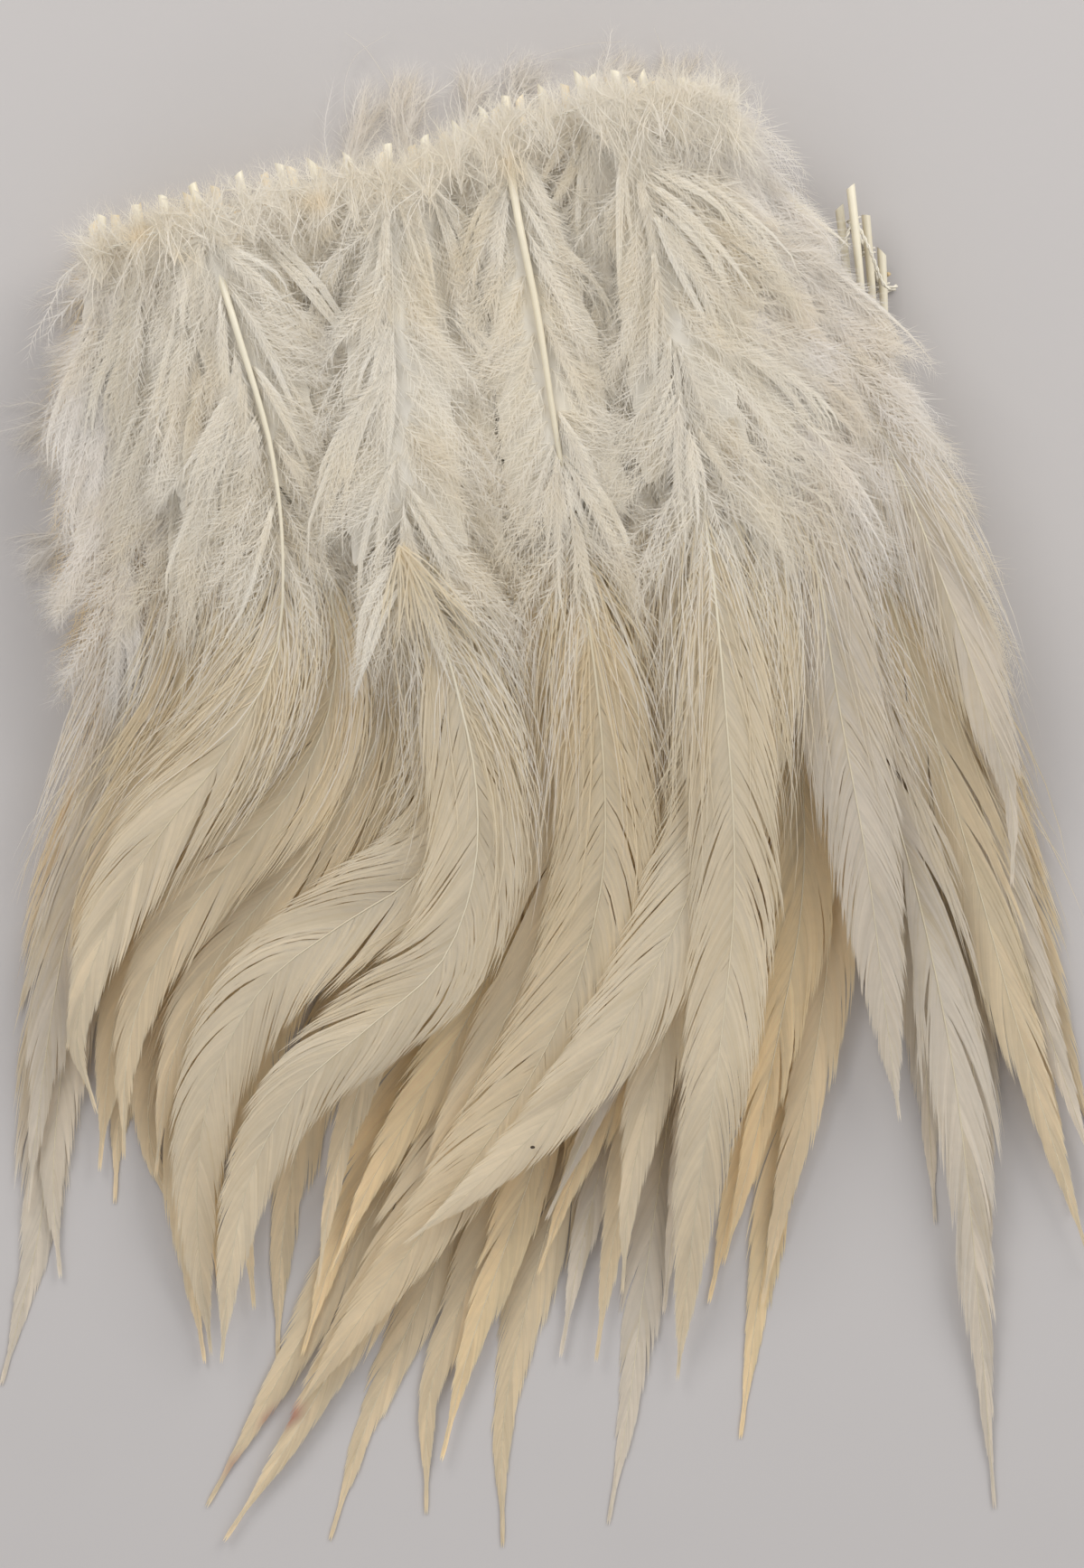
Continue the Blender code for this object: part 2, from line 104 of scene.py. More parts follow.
# Quill and shaft: (share of the length, radius)
SHAFT_TAPER = ((0.0, 0.56), (0.06, 0.52), (0.2, 0.38), (0.35, 0.22), (0.5, 0.12), (0.8, 0.06), (1.0, 0.03))
SHAFT_SIDES = 6
SHAFT_RINGS = 44
RING_SPREAD = 0.9  # below 1, the rings lie closer towards the tip
CUT_SLANT = 0.7
FLOOR_GAP = 0.02  # between a shaft and the floor
VANE_SHAFT_TONE = 0.84  # of the shaft along the vane, where it is darker than the quill
TONE_EASE = (-5, 15)  # it darkens from here to here, from the end of the down

# How high the shaft's middle lies over the edges of the solid: (distance from the cut end, height)
SHAFT_RIDE = ((0.0, 0.0), (6.5, 0.0), (9.0, 0.5), (50.0, 0.35), (130.0, 0.2))

# Stretches of shaft that no down crosses: (from, to) along the shaft
BARE_SHAFTS = {
    "feather_upper_19": (9.0, 38.0),
    "feather_upper_21": (14.0, 46.0),
    "feather_right_02": (0.0, 16.0),
    "feather_right_04": (0.0, 40.0),
    "feather_right_05": (0.0, 18.0),
    "feather_right_06": (0.0, 42.0),
}
BARE_RISE = 0.9  # how far a bare shaft rises through its down, as a share of the down's lift
BARE_EASE = (-5, 2, -4, 6)  # from the stretch's ends: it starts to rise, is up, starts to sink, is down

# Vane barbs
VANE_STEPS = 7
VANE_BEND = 1.45  # the higher, the sooner a barb runs outwards
VANE_DRIFT = 1.15  # the higher, the later it runs on towards the tip
VANE_SHIFT = 2.2  # how late along a barb the closing up and parting of its clump tell
VANE_FIRST = -3.0  # the first vane barbs, from the end of the down
VANE_LAST = 1.2  # the last ones, from the tip
PAST_TIP = 1.5  # barbs may end this far past the tip of the shaft
LEAST_REACH = 0.12  # of the barbs at the very tip
VANE_FIXED_POINT_STEPS = 4
VANE_TAPER = ((0.0, 0.8), (0.12, 1.0), (0.55, 0.9), (0.85, 0.45), (1.0, 0.1))
VANE_ROLL = 0.13  # a whole vane leans up to this far to one side, in radians
VANE_CURL = (-0.3, 0.9)  # how far an edge of a vane turns down or up
VANE_WAVE = (0.22, 38.0)  # how far a vane turns to and fro along its length, and each how many millimetres
FIRST_SPLIT, LAST_SPLIT = 6, 20  # from the end of the down, and from the tip
TIP_PALING = (0.2, 0.55)  # vanes get paler by this, from this share of their length
BARB_REACH, BARB_LIFT, BARB_TILT, BARB_TONE, CLUMP_BEND = 0.05, 0.03, 0.035, 0.03, 0.05
LEAST_CLUMP = 4  # barbs
VANE_STRAY = 0.3  # of the roots, as a share of their spacing

# How far vane barbs stray: (in a whole vane, what full fraying adds)
CLUMP_SIZE = (8, 14)  # of the largest clump
CLUMP_TONE = (0.02, 0.025)
CLUMP_LIFT = (0.045, 0.08)
CLUMP_REACH = (0.03, 0.09)
CLUMP_SHIFT = (0.0, 2.2)
BARB_SHIFT = (0.8, 1.8)

# What full fraying does to the lean, the width and the slimness towards the tip
FRAYED_LEAN, FRAYED_WIDTH, FRAYED_SLIMNESS = 1.7, 0.9, 1.35
HALF_FRAYED = 0.55  # how far most vanes are frayed

# Loose barbs where the down turns into the vane, from the end of the down
LOOSE_STEPS = 7
LOOSE_FROM = -12
LOOSE_VANE_TO, LOOSE_DOWN_TO = 10, 2
LOOSE_REACH = (0.4, 1.45)  # as a share of the vane's width
LOOSE_RUN = (13, 30)
LOOSE_BEND = (1.2, 2.4)
LOOSE_SWAY, LOOSE_WAVES = 0.6, (2, 5)
LOOSE_LIFT = (-0.2, 1.6)
LOOSE_HALF = 0.075  # half the width of a barb
LOOSE_TAPER = ((0, 1), (0.5, 0.85), (1, 0.3))

# Down barbs and their barbules
DOWN_STOP = 7.0  # the last down barbs grow this far before the end of the down, and reach over it
DOWN_STEPS = 7
DOWN_BEND, DOWN_DRIFT, DOWN_SHIFT = 1.5, 1.15, 1.5  # as for the vane barbs
DOWN_WAVES = (0.5, 1.5)  # along one barb
DOWN_END_HEIGHT = 0.15  # of the end of a barb, as a share of its lift
DOWN_CLUMP = (3, 8)  # barbs in a tuft
DOWN_GROWTH = ((0, 0.4), (12, 1))  # (distance from the first barbs, share of the full reach)
DOWN_TAPER = ((0, 1), (0.7, 0.8), (1, 0.3))
BARBULE_TURN = (0.15, 0.75)  # away from the barb, in radians
BARBULE_RISE = (-0.06, 0.09)
BARBULE_SIZES = (0.6, 1.25)
BARBULE_LENGTHS = ((0, 0.7), (0.15, 1), (0.7, 1), (1, 0.6))
BARBULE_WIDTHS = ((0, 1), (0.6, 0.8), (1, 0.2))
BARBULE_TONE = 0.008

# Felt lies between the tufts, and crossing down over the shaft
FELT_RUN = (6, 15)
FELT_LIFT = (0.5, 0.95)
FELT_BREADTH = 1.3  # of its barbules, as a multiple of other down's
CROSSING_CLUMP = (5, 14)  # barbs in a lock
CROSSING_RUN = (9, 20)
CROSSING_LIFT = (0.8, 1.1)
CROSSING_BARBULES = 8  # more than other down has
CLEAR_FELT, CLEAR_CROSSING = 0.4, 0.45  # least distance from a bare shaft, as a share of the down's width

# Soft locks in the crossing down
LOCK_SPACING = 2  # one lock for every second barb
LOCK_WIDTH = 0.8
LOCK_WIDTHS = (0.6, 1.3)  # as shares of it
LOCK_DROP = 0.2  # how far a lock lies below its barbs
LOCK_TAPER = ((0, 0.2), (0.35, 1), (0.7, 0.6), (1, 0.0))

# The dense layer within the down
FLEECE_ROWS = 36
FLEECE_COLUMNS = 11
FLEECE_FIRST, FLEECE_LAST = 1.0, 14.0  # from the first down barbs, and before the end of the down
FLEECE_WIDTH = ((0, 0.35), (12, 0.62))  # (distance from the first down barbs, share of the down's width)
FLEECE_HEIGHT = 0.36  # at the shaft, as a share of the down's lift
FLEECE_EDGE = 0.05  # the same, at its edges
FLEECE_FADE = ((13, 0.05), (20, 1.0))  # (distance to the end of the down, share of the height)
FLEECE_SWEEP = 4.0  # how far its edges lie towards the tip
FLEECE_STRAY = 0.4  # how unevenly

VANE, DOWN, QUILL, FLEECE = 0, 1, 2, 3

Plume = namedtuple("Plume", "name slot shaft down vane down_end")
Group = namedtuple(
    "Group", "prefix vane_spacing barb_width down_from down_spacing barbules felt crossing hairs depth",
)

# The last value of each group is how strongly painted warm shade tints its feathers where they lie deep
RIGHT = Group("feather_right_", 0.36, 0.26, 12.0, 0.66, 38, 40, 60, 24, 0.1)
UNDER = Group("feather_under_", 0.52, 0.38, 2.4, 1.0, 18, 14, 4, 16, 0.8)
UPPER = Group("feather_upper_", 0.34, 0.28, 2.4, 0.64, 38, 56, 116, 44, 0.0)

# Nothing lies on the down of these, so it stands up
FREE_DOWN = ("feather_upper_21", "feather_upper_23", "feather_upper_24")

# The vanes of these stay whole. The others fray.
WHOLE = (
    "feather_upper_18", "feather_upper_19", "feather_upper_20", "feather_upper_22", "feather_upper_23",
    "feather_upper_24",
)

# The vanes of these hang in separate strings
STRINGY = (
    "feather_upper_01", "feather_upper_04", "feather_upper_07", "feather_upper_10", "feather_upper_11",
    "feather_upper_16", "feather_right_01", "feather_right_02", "feather_right_03", "feather_right_04",
    "feather_right_05", "feather_right_06",
)

# Free barbs that fan out from one spot of a feather: the spot, and the ends, in plan
FANS = {
    "feather_upper_23": (
        (-15.2, 26.0),
        (
            (-16.6, 14.5), (-15.6, 15.4), (-14.6, 16.2), (-13.2, 13.6), (-11.6, 14.8), (-10.2, 16.0),
            (-8.4, 17.2), (-7.4, 18.6), (-17.6, 16.5), (-12.4, 12.2), (-9.2, 14.0), (-6.2, 17.0),
        ),
    ),
}
FAN_HEIGHT = 2.6  # over the shaft
FAN_COPIES = 3
FAN_HALF = 0.1  # half the width of a barb
FAN_TAPER = ((0, 1), (0.6, 0.8), (1, 0.2))

# Painted warm shade of light between deep layers, along Y: the tips that reach out of the bunch are pale
DEEP_SHADE_FADE = ((-55.0, 0.0), (-32.0, 0.25), (-8.0, 1.0))

# Spots: (x, y, half length, half width, heading, strength)
STAINS = (
    (-29.0, -70.3, 2.2, 1.1, 0.45, 0.9),
    (-33.6, -75.6, 2.2, 1.1, 0.5, 0.35),
)
GLUE_MARKS = (
    (-44.5, 60.5, 1.6, 0.8, 0.3, 0.4),
    (-38.5, 57.8, 1.8, 0.7, 0.2, 0.45),
    (-33.8, 59.8, 1.5, 0.7, 0.4, 0.35),
    (-25.0, 64.0, 1.7, 0.9, 0.2, 0.4),
    (-23.5, 60.7, 1.4, 0.7, 0.1, 0.4),
    (-19.5, 61.0, 1.6, 0.6, 0.3, 0.35),
    (-12.0, 62.5, 1.2, 0.7, 0.3, 0.25),
    (-2.5, 67.5, 2.2, 2.2, 0.8, 0.35),
    (6.0, 70.0, 1.4, 0.8, 0.2, 0.25),
)

# The flat map looks down along this slant, so that upright faces keep some width in it
MAP_SLANT = np.array([0.37, 0.23])
MAP_NAME = "OFBake"


# Sizes and colours that a user may change

def number(name, value, description, **kind):
    return FloatProperty(name=name, description=description, default=value, **kind)


def length(name, value, description):
    return number(name, value * MM, description, unit="LENGTH", precision=5)


def colour(name, value, description):
    return FloatVectorProperty(
        name=name, description=description, default=value, subtype="COLOR", size=3, min=0, max=1,
    )


def share(name, value, description):
    return number(name, value, description, subtype="FACTOR", min=0, max=10)


class VaneSettings(bpy.types.PropertyGroup):
    """Barbs of the narrow glossy vane."""

    reach: length("Extra reach", 3.0, "How far every barb runs on towards the tip, beyond its lean")
    lean: share("Lean", 2.5, "Run of a barb towards the tip, for each unit that it runs outwards")
    gather: share("Gather", 0.07, "How much the barbs of one clump close up at their ends")
    crown: share("Crown", 0.32, "How round each half of a vane looks under the light")
    string_gather: share("String gather", 0.42, "The same, for vanes that hang in separate strings")
    ripple: length("Ripple", 0.16, "Sway of the barb ends")
    tilt: number("Tilt", 0.09, "Lean of each barb on the next", subtype="ANGLE")


class DownSettings(bpy.types.PropertyGroup):
    """Barbs and barbules of the fluffy lower part."""

    barb: length("Barb width", 0.11, "Width of one down barb")
    barbule: length("Barbule length", 2.5, "Length of the hairs along a down barb")
    hair: length("Barbule width", 0.22, "Width of a barbule where it leaves its barb")
    lift: length("Lift", 1.4, "How high the down stands over its shaft")
    free_lift: length("Free lift", 2.0, "The same, where nothing lies on the down")
    sway: length("Sway", 0.5, "How far a down barb waves to either side")
    gather: share("Gather", 0.3, "How much the barbs of one tuft close up at their ends")
    roundness: share("Roundness", 0.12, "How round each strand of down looks under the light")
    ruffle: share("Ruffle", 0.05, "How much neighbouring strands of down face different ways")


class SewingSettings(bpy.types.PropertyGroup):
    """Two-ply thread through the quills, and the glue on it."""

    ply: length("Ply radius", 0.13, "Radius of one ply of the thread")
    pitch: length("Twist pitch", 1.8, "Length of thread in one full twist")
    loop: length("Loop radius", 0.72, "Radius of the thread's loop round a quill")
    dab: length("Glue dab", 1.1, "Size of a dab of glue")


class ColourSettings(bpy.types.PropertyGroup):
    """Colours of the feathers, thread, glue and paper."""

    ivory_vane: colour("Ivory vane", (0.84, 0.76, 0.60), "Vane of the whitest feathers")
    cream_vane: colour("Cream vane", (0.84, 0.74, 0.55), "Vane of the cream feathers")
    gold_vane: colour("Golden vane", (0.91, 0.79, 0.55), "Vane of the tan feathers")
    pearl_vane: colour("Pearl vane", (0.80, 0.74, 0.64), "Vane of the greyish feathers")
    # Painted warm shade that the deep-lying vanes take, also the tint of the glue marks
    deep_vane: colour("Deep shade and glue", (0.97, 0.82, 0.56), "Golden tone of the vanes that lie deepest")
    warm_down: colour("Warm down", (0.93, 0.895, 0.82), "Down of the ivory, cream and golden feathers")
    # Both fleece tints are darker than the down's own colour: painted shade of the down's depth
    warm_fleece: colour("Ivory fleece", (0.74, 0.70, 0.615), "Dense down of the ivory and cream feathers")
    pearl_fleece: colour("Pearl fleece", (0.74, 0.71, 0.66), "Dense down of the greyish feathers")
    pearl_down: colour("Pearl down", (0.925, 0.895, 0.85), "Down of the greyish feathers")
    quill: colour("Quill", (0.92, 0.86, 0.69), "Horn of the quills and shafts")
    thread: colour("Thread", (0.82, 0.77, 0.65), "Undyed cotton thread")
    glue: colour("Glue", (0.66, 0.50, 0.27), "Dry glue on the seam")
    stain: colour("Stain", (0.55, 0.16, 0.11), "Red-brown stain near one tip")
    paper: colour("Paper", (0.52, 0.495, 0.48), "Paper that the bunch lies on")


class StageSettings(bpy.types.PropertyGroup):
    """Light, floor and camera."""

    key: number("Key light", 2.4, "Power of the key light in watts", min=0)
    key_size: number("Key size", 0.4, "Side of the key light", unit="LENGTH")
    fill: number("Fill light", 3.2, "Power of the fill light in watts", min=0)
    fill_size: number("Fill size", 0.5, "Side of the fill light", unit="LENGTH")
    sky: share("Sky", 0.6, "Strength of the even light from all round")
    distance: number("Distance", 1.0, "Height of the camera", unit="LENGTH")


class HackleSettings(bpy.types.PropertyGroup):
    """All settings of the bunch."""

    vane: PointerProperty(type=VaneSettings)
    down: PointerProperty(type=DownSettings)
    sewing: PointerProperty(type=SewingSettings)
    colours: PointerProperty(type=ColourSettings)
    stage: PointerProperty(type=StageSettings)


def in_mm(value):
    return value / MM


def seeded(name):
    return np.random.default_rng(zlib.crc32(name.encode()))


def nodes_of(prefix=""):
    return [name for name in sorted(frame["nodes"]) if name.startswith(prefix)]


# Shafts, read from the solids

def shaped(outline, at):
    """Reads an outline given as (share, value) pairs."""
    places, values = zip(*outline)
    return np.interp(at, places, values)


def distances(points):
    """How far each point of a line lies along it."""
    return np.concatenate([[0], np.cumsum(np.linalg.norm(np.diff(points, axis=0), axis=1))])


def smooth_curve(points):
    """(dense points, distance along them in plan) of a smooth curve through points."""
    points = np.array(points, float)
    held = [2 * points[0] - points[1], *points, 2 * points[-1] - points[-2]]
    dense = []
    for a, b, c, d in zip(held, held[1:], held[2:], held[3:]):
        for t in np.arange(CURVE_STEPS) / CURVE_STEPS:
            bent = (2 * a - 5 * b + 4 * c - d) * t**2 + (3 * b - a - 3 * c + d) * t**3
            dense.append((2 * b + (c - a) * t + bent) / 2)
    dense = np.array([*dense, points[-1]])
    return dense, distances(dense[:, :2])


class Shaft:
    """A line in plan with a height, and the places beside it. The points are (x, y, z)."""

    def __init__(self, points, smoothing=HEIGHT_SMOOTHING):
        dense, run = smooth_curve(points)
        self.length = run[-1]
        inner = np.arange(0, self.length, SHAFT_STEP)
        line = np.column_stack([np.interp(inner, run, dense[:, k]) for k in (0, 1, 2)])
        spare = int(SHAFT_SPARE / SHAFT_STEP)
        before = line[0, :2] + (line[0, :2] - line[1, :2]) * np.arange(spare, 0, -1)[:, None]
        after = line[-1, :2] + (line[-1, :2] - line[-2, :2]) * np.arange(1, spare + 1)[:, None]
        self.plan = np.concatenate([before, line[:, :2], after])
        self.at = (np.arange(len(self.plan)) - spare) * SHAFT_STEP
        self.ahead = unit(np.gradient(self.plan, axis=0))
        height = np.concatenate([np.full(spare, line[0, 2]), line[:, 2], np.full(spare, line[-1, 2])])
        reach = np.arange(-3 * smoothing, 3 * smoothing + SHAFT_STEP, SHAFT_STEP)
        kernel = np.exp(-0.5 * (reach / smoothing) ** 2)
        half = len(kernel) // 2
        padded = np.pad(height, half, mode="edge")
        self.height = np.convolve(padded, kernel / kernel.sum(), "valid")[:len(height)]

    def place(self, along, left, up):
        """World places of points at a distance along the shaft, to its left and above it."""
        x, y = (np.interp(along, self.at, self.plan[:, k]) for k in (0, 1))
        east, north = (np.interp(along, self.at, self.ahead[:, k]) for k in (0, 1))
        z = np.interp(along, self.at, self.height) + up
        return np.stack([x - north * left, y + east * left, np.maximum(z, LEAST_HEIGHT)], axis=-1)

    def beside(self, spots):
        """(distance along the shaft, distance from it) of points in plan."""
        gaps = np.linalg.norm(spots[:, None] - self.plan[None], axis=2)
        nearest = gaps.argmin(axis=1)
        return self.at[nearest], gaps[np.arange(len(spots)), nearest]


def solid_corners(name):
    """(ridge corners, edge corners) of a node's solid. A ridge corner touches no face that looks down."""
    mesh = frame["nodes"][name].data
    places = np.empty(len(mesh.vertices) * 3)
    mesh.vertices.foreach_get("co", places)
    corners, index = np.unique(np.round(places.reshape(-1, 3) / MM, 3), axis=0, return_inverse=True)
    index = index.ravel()
    looks_up = np.zeros(len(corners), bool)
    looks_down = np.zeros(len(corners), bool)
    for face in mesh.polygons:
        touched = index[list(face.vertices)]
        looks_up[touched] |= face.normal.z > LEVEL
        looks_down[touched] |= face.normal.z < -LEVEL
    return corners[looks_up & ~looks_down], corners[looks_up & looks_down]


def in_order(stations):
    """The corners of a ridge from the cut end, which lies farthest along +Y, to the tip."""
    left = list(range(len(stations)))
    order = [left.pop(int(stations[:, 1].argmax()))]
    while left:
        gaps = np.linalg.norm(stations[left, :2] - stations[order[-1], :2], axis=1)
        order.append(left.pop(int(gaps.argmin())))
    return stations[order]


def read_plume(name):
    """A feather's shaft and widths, from its solid, and its slot, from the record."""
    ridge, edges = solid_corners(name)
    stations = in_order(ridge)
    along, aside = Shaft(stations).beside(edges[:, :2])
    run = distances(stations[:, :2])
    order = along.argsort()
    stations[:, 2] = np.interp(run, along[order], edges[order, 2]) + shaped(SHAFT_RIDE, run)
    shaft = Shaft(stations)
    down_end = DOWN_LEAST + DOWN_SHARE * shaft.length
    in_vane = along > down_end + VANE_EDGE_FROM
    slot = next(part["material_slot"] for part in frame["record"]["subparts"] if part["node"] == name)
    return Plume(name, slot, shaft, aside[~in_vane].max(), aside[in_vane].max(), down_end)


def unit(vectors):
    return vectors / np.maximum(np.linalg.norm(vectors, axis=-1, keepdims=True), 1e-9)


def in_between(first, second, factor):
    return first + (second - first) * factor


def clumps(count, least, most, rng):
    """Which clump each of a row of barbs belongs to."""
    sizes = rng.integers(least, most + 1, count)
    return np.repeat(np.arange(count), sizes)[:count]


def drift(at, wavelength, rng):
    """A smooth random wave along a feather, from about -1 to 1."""
    value = 0.0
    for part in (1.0, 0.55, 0.3):
        value = value + part * np.sin(2 * np.pi * at / (wavelength * part) + rng.uniform(0, 2 * np.pi))
    return value / 1.4


def spotted(points, spots):
    """How strong the nearest spot is at each point."""
    value = np.zeros(len(points))
    for x, y, half_length, half_width, heading, strength in spots:
        east, north = points[:, 0] - x, points[:, 1] - y
        along = (east * np.cos(heading) + north * np.sin(heading)) / half_length
        aside = (north * np.cos(heading) - east * np.sin(heading)) / half_width
        value = np.maximum(value, strength * np.exp(-(along**2 + aside**2) ** 1.5))
    return value


# Gathering strands into one mesh

class Strands:
    """Flat barbs, fine hairs, tubes and soft sheets gathered for one mesh, in millimetres."""

    def __init__(self):
        self.points = []
        self.faces = []
        self.normals = []
        self.tones = []
        self.finishes = []
        self.count = 0

    def add(self, points, faces, normals, tone, finish):
        points = points.reshape(-1, 3)
        self.points.append(points)
        self.faces.append(faces.reshape(-1, 3) + self.count)
        self.normals.append(np.broadcast_to(normals, points.shape))
        self.tones.append(np.broadcast_to(tone, len(points)))
        self.finishes.append(np.full(len(faces.reshape(-1, 3)), finish))
        self.count += len(points)

    def add_barbs(self, lines, half, tilt, tone, finish, bend=0.0):
        """Flat strips along lines. Each starts at full width and ends in a point.

        Bend turns the normals to the left of a strip, by a slope at each of its steps.
        """
        count, steps = lines.shape[:2]
        ahead = np.gradient(lines, axis=1)
        level = np.maximum(np.hypot(ahead[..., 0], ahead[..., 1]), 1e-6)
        across = np.stack([
            -ahead[..., 1] / level * np.cos(tilt)[:, None],
            ahead[..., 0] / level * np.cos(tilt)[:, None],
            np.broadcast_to(np.sin(tilt)[:, None], level.shape),
        ], axis=2)
        facing = unit(np.cross(ahead, across))
        facing = unit(facing + across * np.broadcast_to(bend, level.shape)[..., None])
        offset = across * half[..., None]
        both = np.stack([lines + offset, lines - offset], axis=2)[:, :-1]
        points = np.concatenate([both.reshape(count, -1, 3), lines[:, -1:]], axis=1)
        pattern = []
        for k in range(0, 2 * (steps - 2), 2):
            pattern += [(k + 1, k + 3, k + 2), (k + 1, k + 2, k)]
        pattern.append((2 * steps - 3, 2 * steps - 2, 2 * steps - 4))
        faces = np.array(pattern)[None] + (np.arange(count) * (2 * steps - 1))[:, None, None]
        normals = np.concatenate([np.repeat(facing[:, :-1], 2, axis=1), facing[:, -1:]], axis=1)
        self.add(points, faces, normals.reshape(-1, 3), np.repeat(tone, 2 * steps - 1), finish)

    def add_hairs(self, roots, base, tips, facing, tone, finish):
        """Single slivers from a short base on their root to a tip, with a normal at each corner."""
        rising = np.cross(base, tips - roots)[:, 2:] > 0
        base = np.where(rising, base, -base)
        points = np.stack([roots - base, roots + base, tips], axis=1)
        faces = np.arange(len(roots) * 3).reshape(-1, 3)
        self.add(points, faces, facing.reshape(-1, 3), np.repeat(tone, 3), finish)

    def add_tube(self, line, radius, sides, finish, slant=0.0, tone=1.0):
        """A round tube along a line, closed at both ends."""
        ahead = unit(np.gradient(line, axis=0))
        side = unit(np.cross(np.where(np.abs(ahead[:, 2:]) < 0.9, (0.0, 0.0, 1.0), (1.0, 0.0, 0.0)), ahead))
        up = np.cross(ahead, side)
        turn = (np.arange(sides) + 0.5) * 2 * np.pi / sides
        ring = side[:, None] * np.cos(turn)[None, :, None] + up[:, None] * np.sin(turn)[None, :, None]
        rings = line[:, None] + ring * np.broadcast_to(radius, len(line))[:, None, None]
        rings[0] += ahead[0] * (np.cos(turn) * slant)[:, None]
        faces = []
        for k in range(sides):
            a = np.arange(len(line) - 1) * sides + k
            b = np.arange(len(line) - 1) * sides + (k + 1) % sides
            faces += [np.stack([a, b + sides, a + sides], axis=1), np.stack([a, b, b + sides], axis=1)]
        first = len(line) * sides
        around = np.arange(sides)
        after = (around + 1) % sides
        last = (len(line) - 1) * sides
        faces.append(np.stack([np.full(sides, first), after, around], axis=1))
        faces.append(np.stack([np.full(sides, first + 1), around + last, after + last], axis=1))
        points = np.concatenate([rings.reshape(-1, 3), rings[0].mean(axis=0)[None], line[-1:]])
        normals = np.concatenate([ring.reshape(-1, 3), -ahead[:1], ahead[-1:]])
        tone = np.broadcast_to(tone, len(line))
        tones = np.concatenate([np.repeat(tone, sides), tone[:1], tone[-1:]])
        self.add(points, np.concatenate(faces), normals, tones, finish)

    def build(self, name, materials, depth=0.0, golden=()):
        """The gathered strands as one object, with its tones, its normals and its flat map.

        Its third argument sets the painted warm shade where the piece lies deep; golden are glue spots in
        that tint.
        """
        points = np.concatenate(self.points)
        faces = np.concatenate(self.faces)
        mesh = bpy.data.meshes.new(name)
        mesh.vertices.add(len(points))
        mesh.vertices.foreach_set("co", (points * MM).ravel())
        mesh.loops.add(faces.size)
        mesh.loops.foreach_set("vertex_index", faces.ravel())
        mesh.polygons.add(len(faces))
        mesh.polygons.foreach_set("loop_start", np.arange(0, faces.size, 3))
        mesh.polygons.foreach_set("material_index", np.concatenate(self.finishes))
        mesh.polygons.foreach_set("use_smooth", np.ones(len(faces), bool))
        mesh.update(calc_edges=True)
        add_layer(mesh, "tone", np.concatenate(self.tones))
        # Painted warm shade where the piece lies deep, and the glue marks in the same golden tint
        add_layer(mesh, "depth", shaped(DEEP_SHADE_FADE, points[:, 1]) * depth + spotted(points, golden))
        add_layer(mesh, "stain", spotted(points, STAINS))
        add_flat_map(mesh, points, faces)
        mesh.normals_split_custom_set_from_vertices(np.concatenate(self.normals).tolist())
        for material in materials:
            mesh.materials.append(material)
        obj = bpy.data.objects.new(name, mesh)
        bpy.context.scene.collection.objects.link(obj)
        return obj


def add_layer(mesh, label, values):
    layer = mesh.attributes.new(label, "FLOAT", "POINT")
    layer.data.foreach_set("value", values.astype(np.float32))


def add_flat_map(mesh, points, faces):
    """A map that looks down on the piece, a little from the side."""
    flat = points[:, :2] + points[:, 2:] * MAP_SLANT
    low = flat.min(axis=0)
    flat = (flat - low) / np.maximum((flat.max(axis=0) - low).max(), 1e-6)
    layer = mesh.uv_layers.new(name=MAP_NAME)
    layer.data.foreach_set("uv", flat[faces.ravel()].astype(np.float32).ravel())


def place_piece(obj, replaced=None):
    """Lets a piece ride on the one body and stand for a solid, which it hides."""
    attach(obj, "root")
    if replaced:
        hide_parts(replaced)


# Vane barbs

def frayed(plume):
    """How far the vane has come apart, from 0 to 1."""
    if plume.name in WHOLE:
        return 0.0
    return 1.0 if plume.name in STRINGY else HALF_FRAYED


def spread(pair, fray):
    """How far barbs stray in a vane: a share for any vane, and one that grows with fraying."""
    return pair[0] + pair[1] * fray


def gathered(roots, clump, strength):
    """How far each barb's end moves along the shaft so that its clump closes up."""
    total = np.bincount(clump, roots)
    size = np.maximum(np.bincount(clump), 1)
    return ((total / size)[clump] - roots) * strength


def vane_size(plume, roots, settings):
    """(outward reach, run towards the tip) of vane barbs, so that their ends keep to the outline.

    The barbs of a frayed vane lie closer along the shaft, and leave it narrower.
    """
    lean = settings.lean * in_between(1.0, FRAYED_LEAN, frayed(plume))
    width = plume.vane * in_between(1.0, FRAYED_WIDTH, frayed(plume))
    slimness = in_between(1.0, FRAYED_SLIMNESS, frayed(plume))
    vane_start = plume.down_end + DOWN_TO_VANE
    span = plume.shaft.length - vane_start
    run = np.full(len(roots), in_mm(settings.reach))
    for _ in range(VANE_FIXED_POINT_STEPS):
        reach = width * shaped(VANE_OUTLINE, (roots + run - vane_start) / span) ** slimness
        reach = np.maximum(reach, LEAST_REACH)
        run = lean * reach + in_mm(settings.reach)
        run = np.minimum(run, np.maximum(plume.shaft.length + PAST_TIP - roots, PAST_TIP))
    return reach, run


def random_splits(low, high, count, rng):
    """Places, openings and spreads of splits along a vane."""
    places, openings = rng.uniform(low, high, count), rng.uniform(0.3, 1.6, count)
    return list(zip(places, openings, rng.uniform(2.5, 6.0, count)))


def parted(roots, splits):
    """How far splits in a vane push the ends of the barbs apart."""
    push = np.zeros(len(roots))
    for place, opening, fade in splits:
        gap = roots - place
        push += opening * np.sign(gap) * np.exp(-np.abs(gap) / fade)
    return push


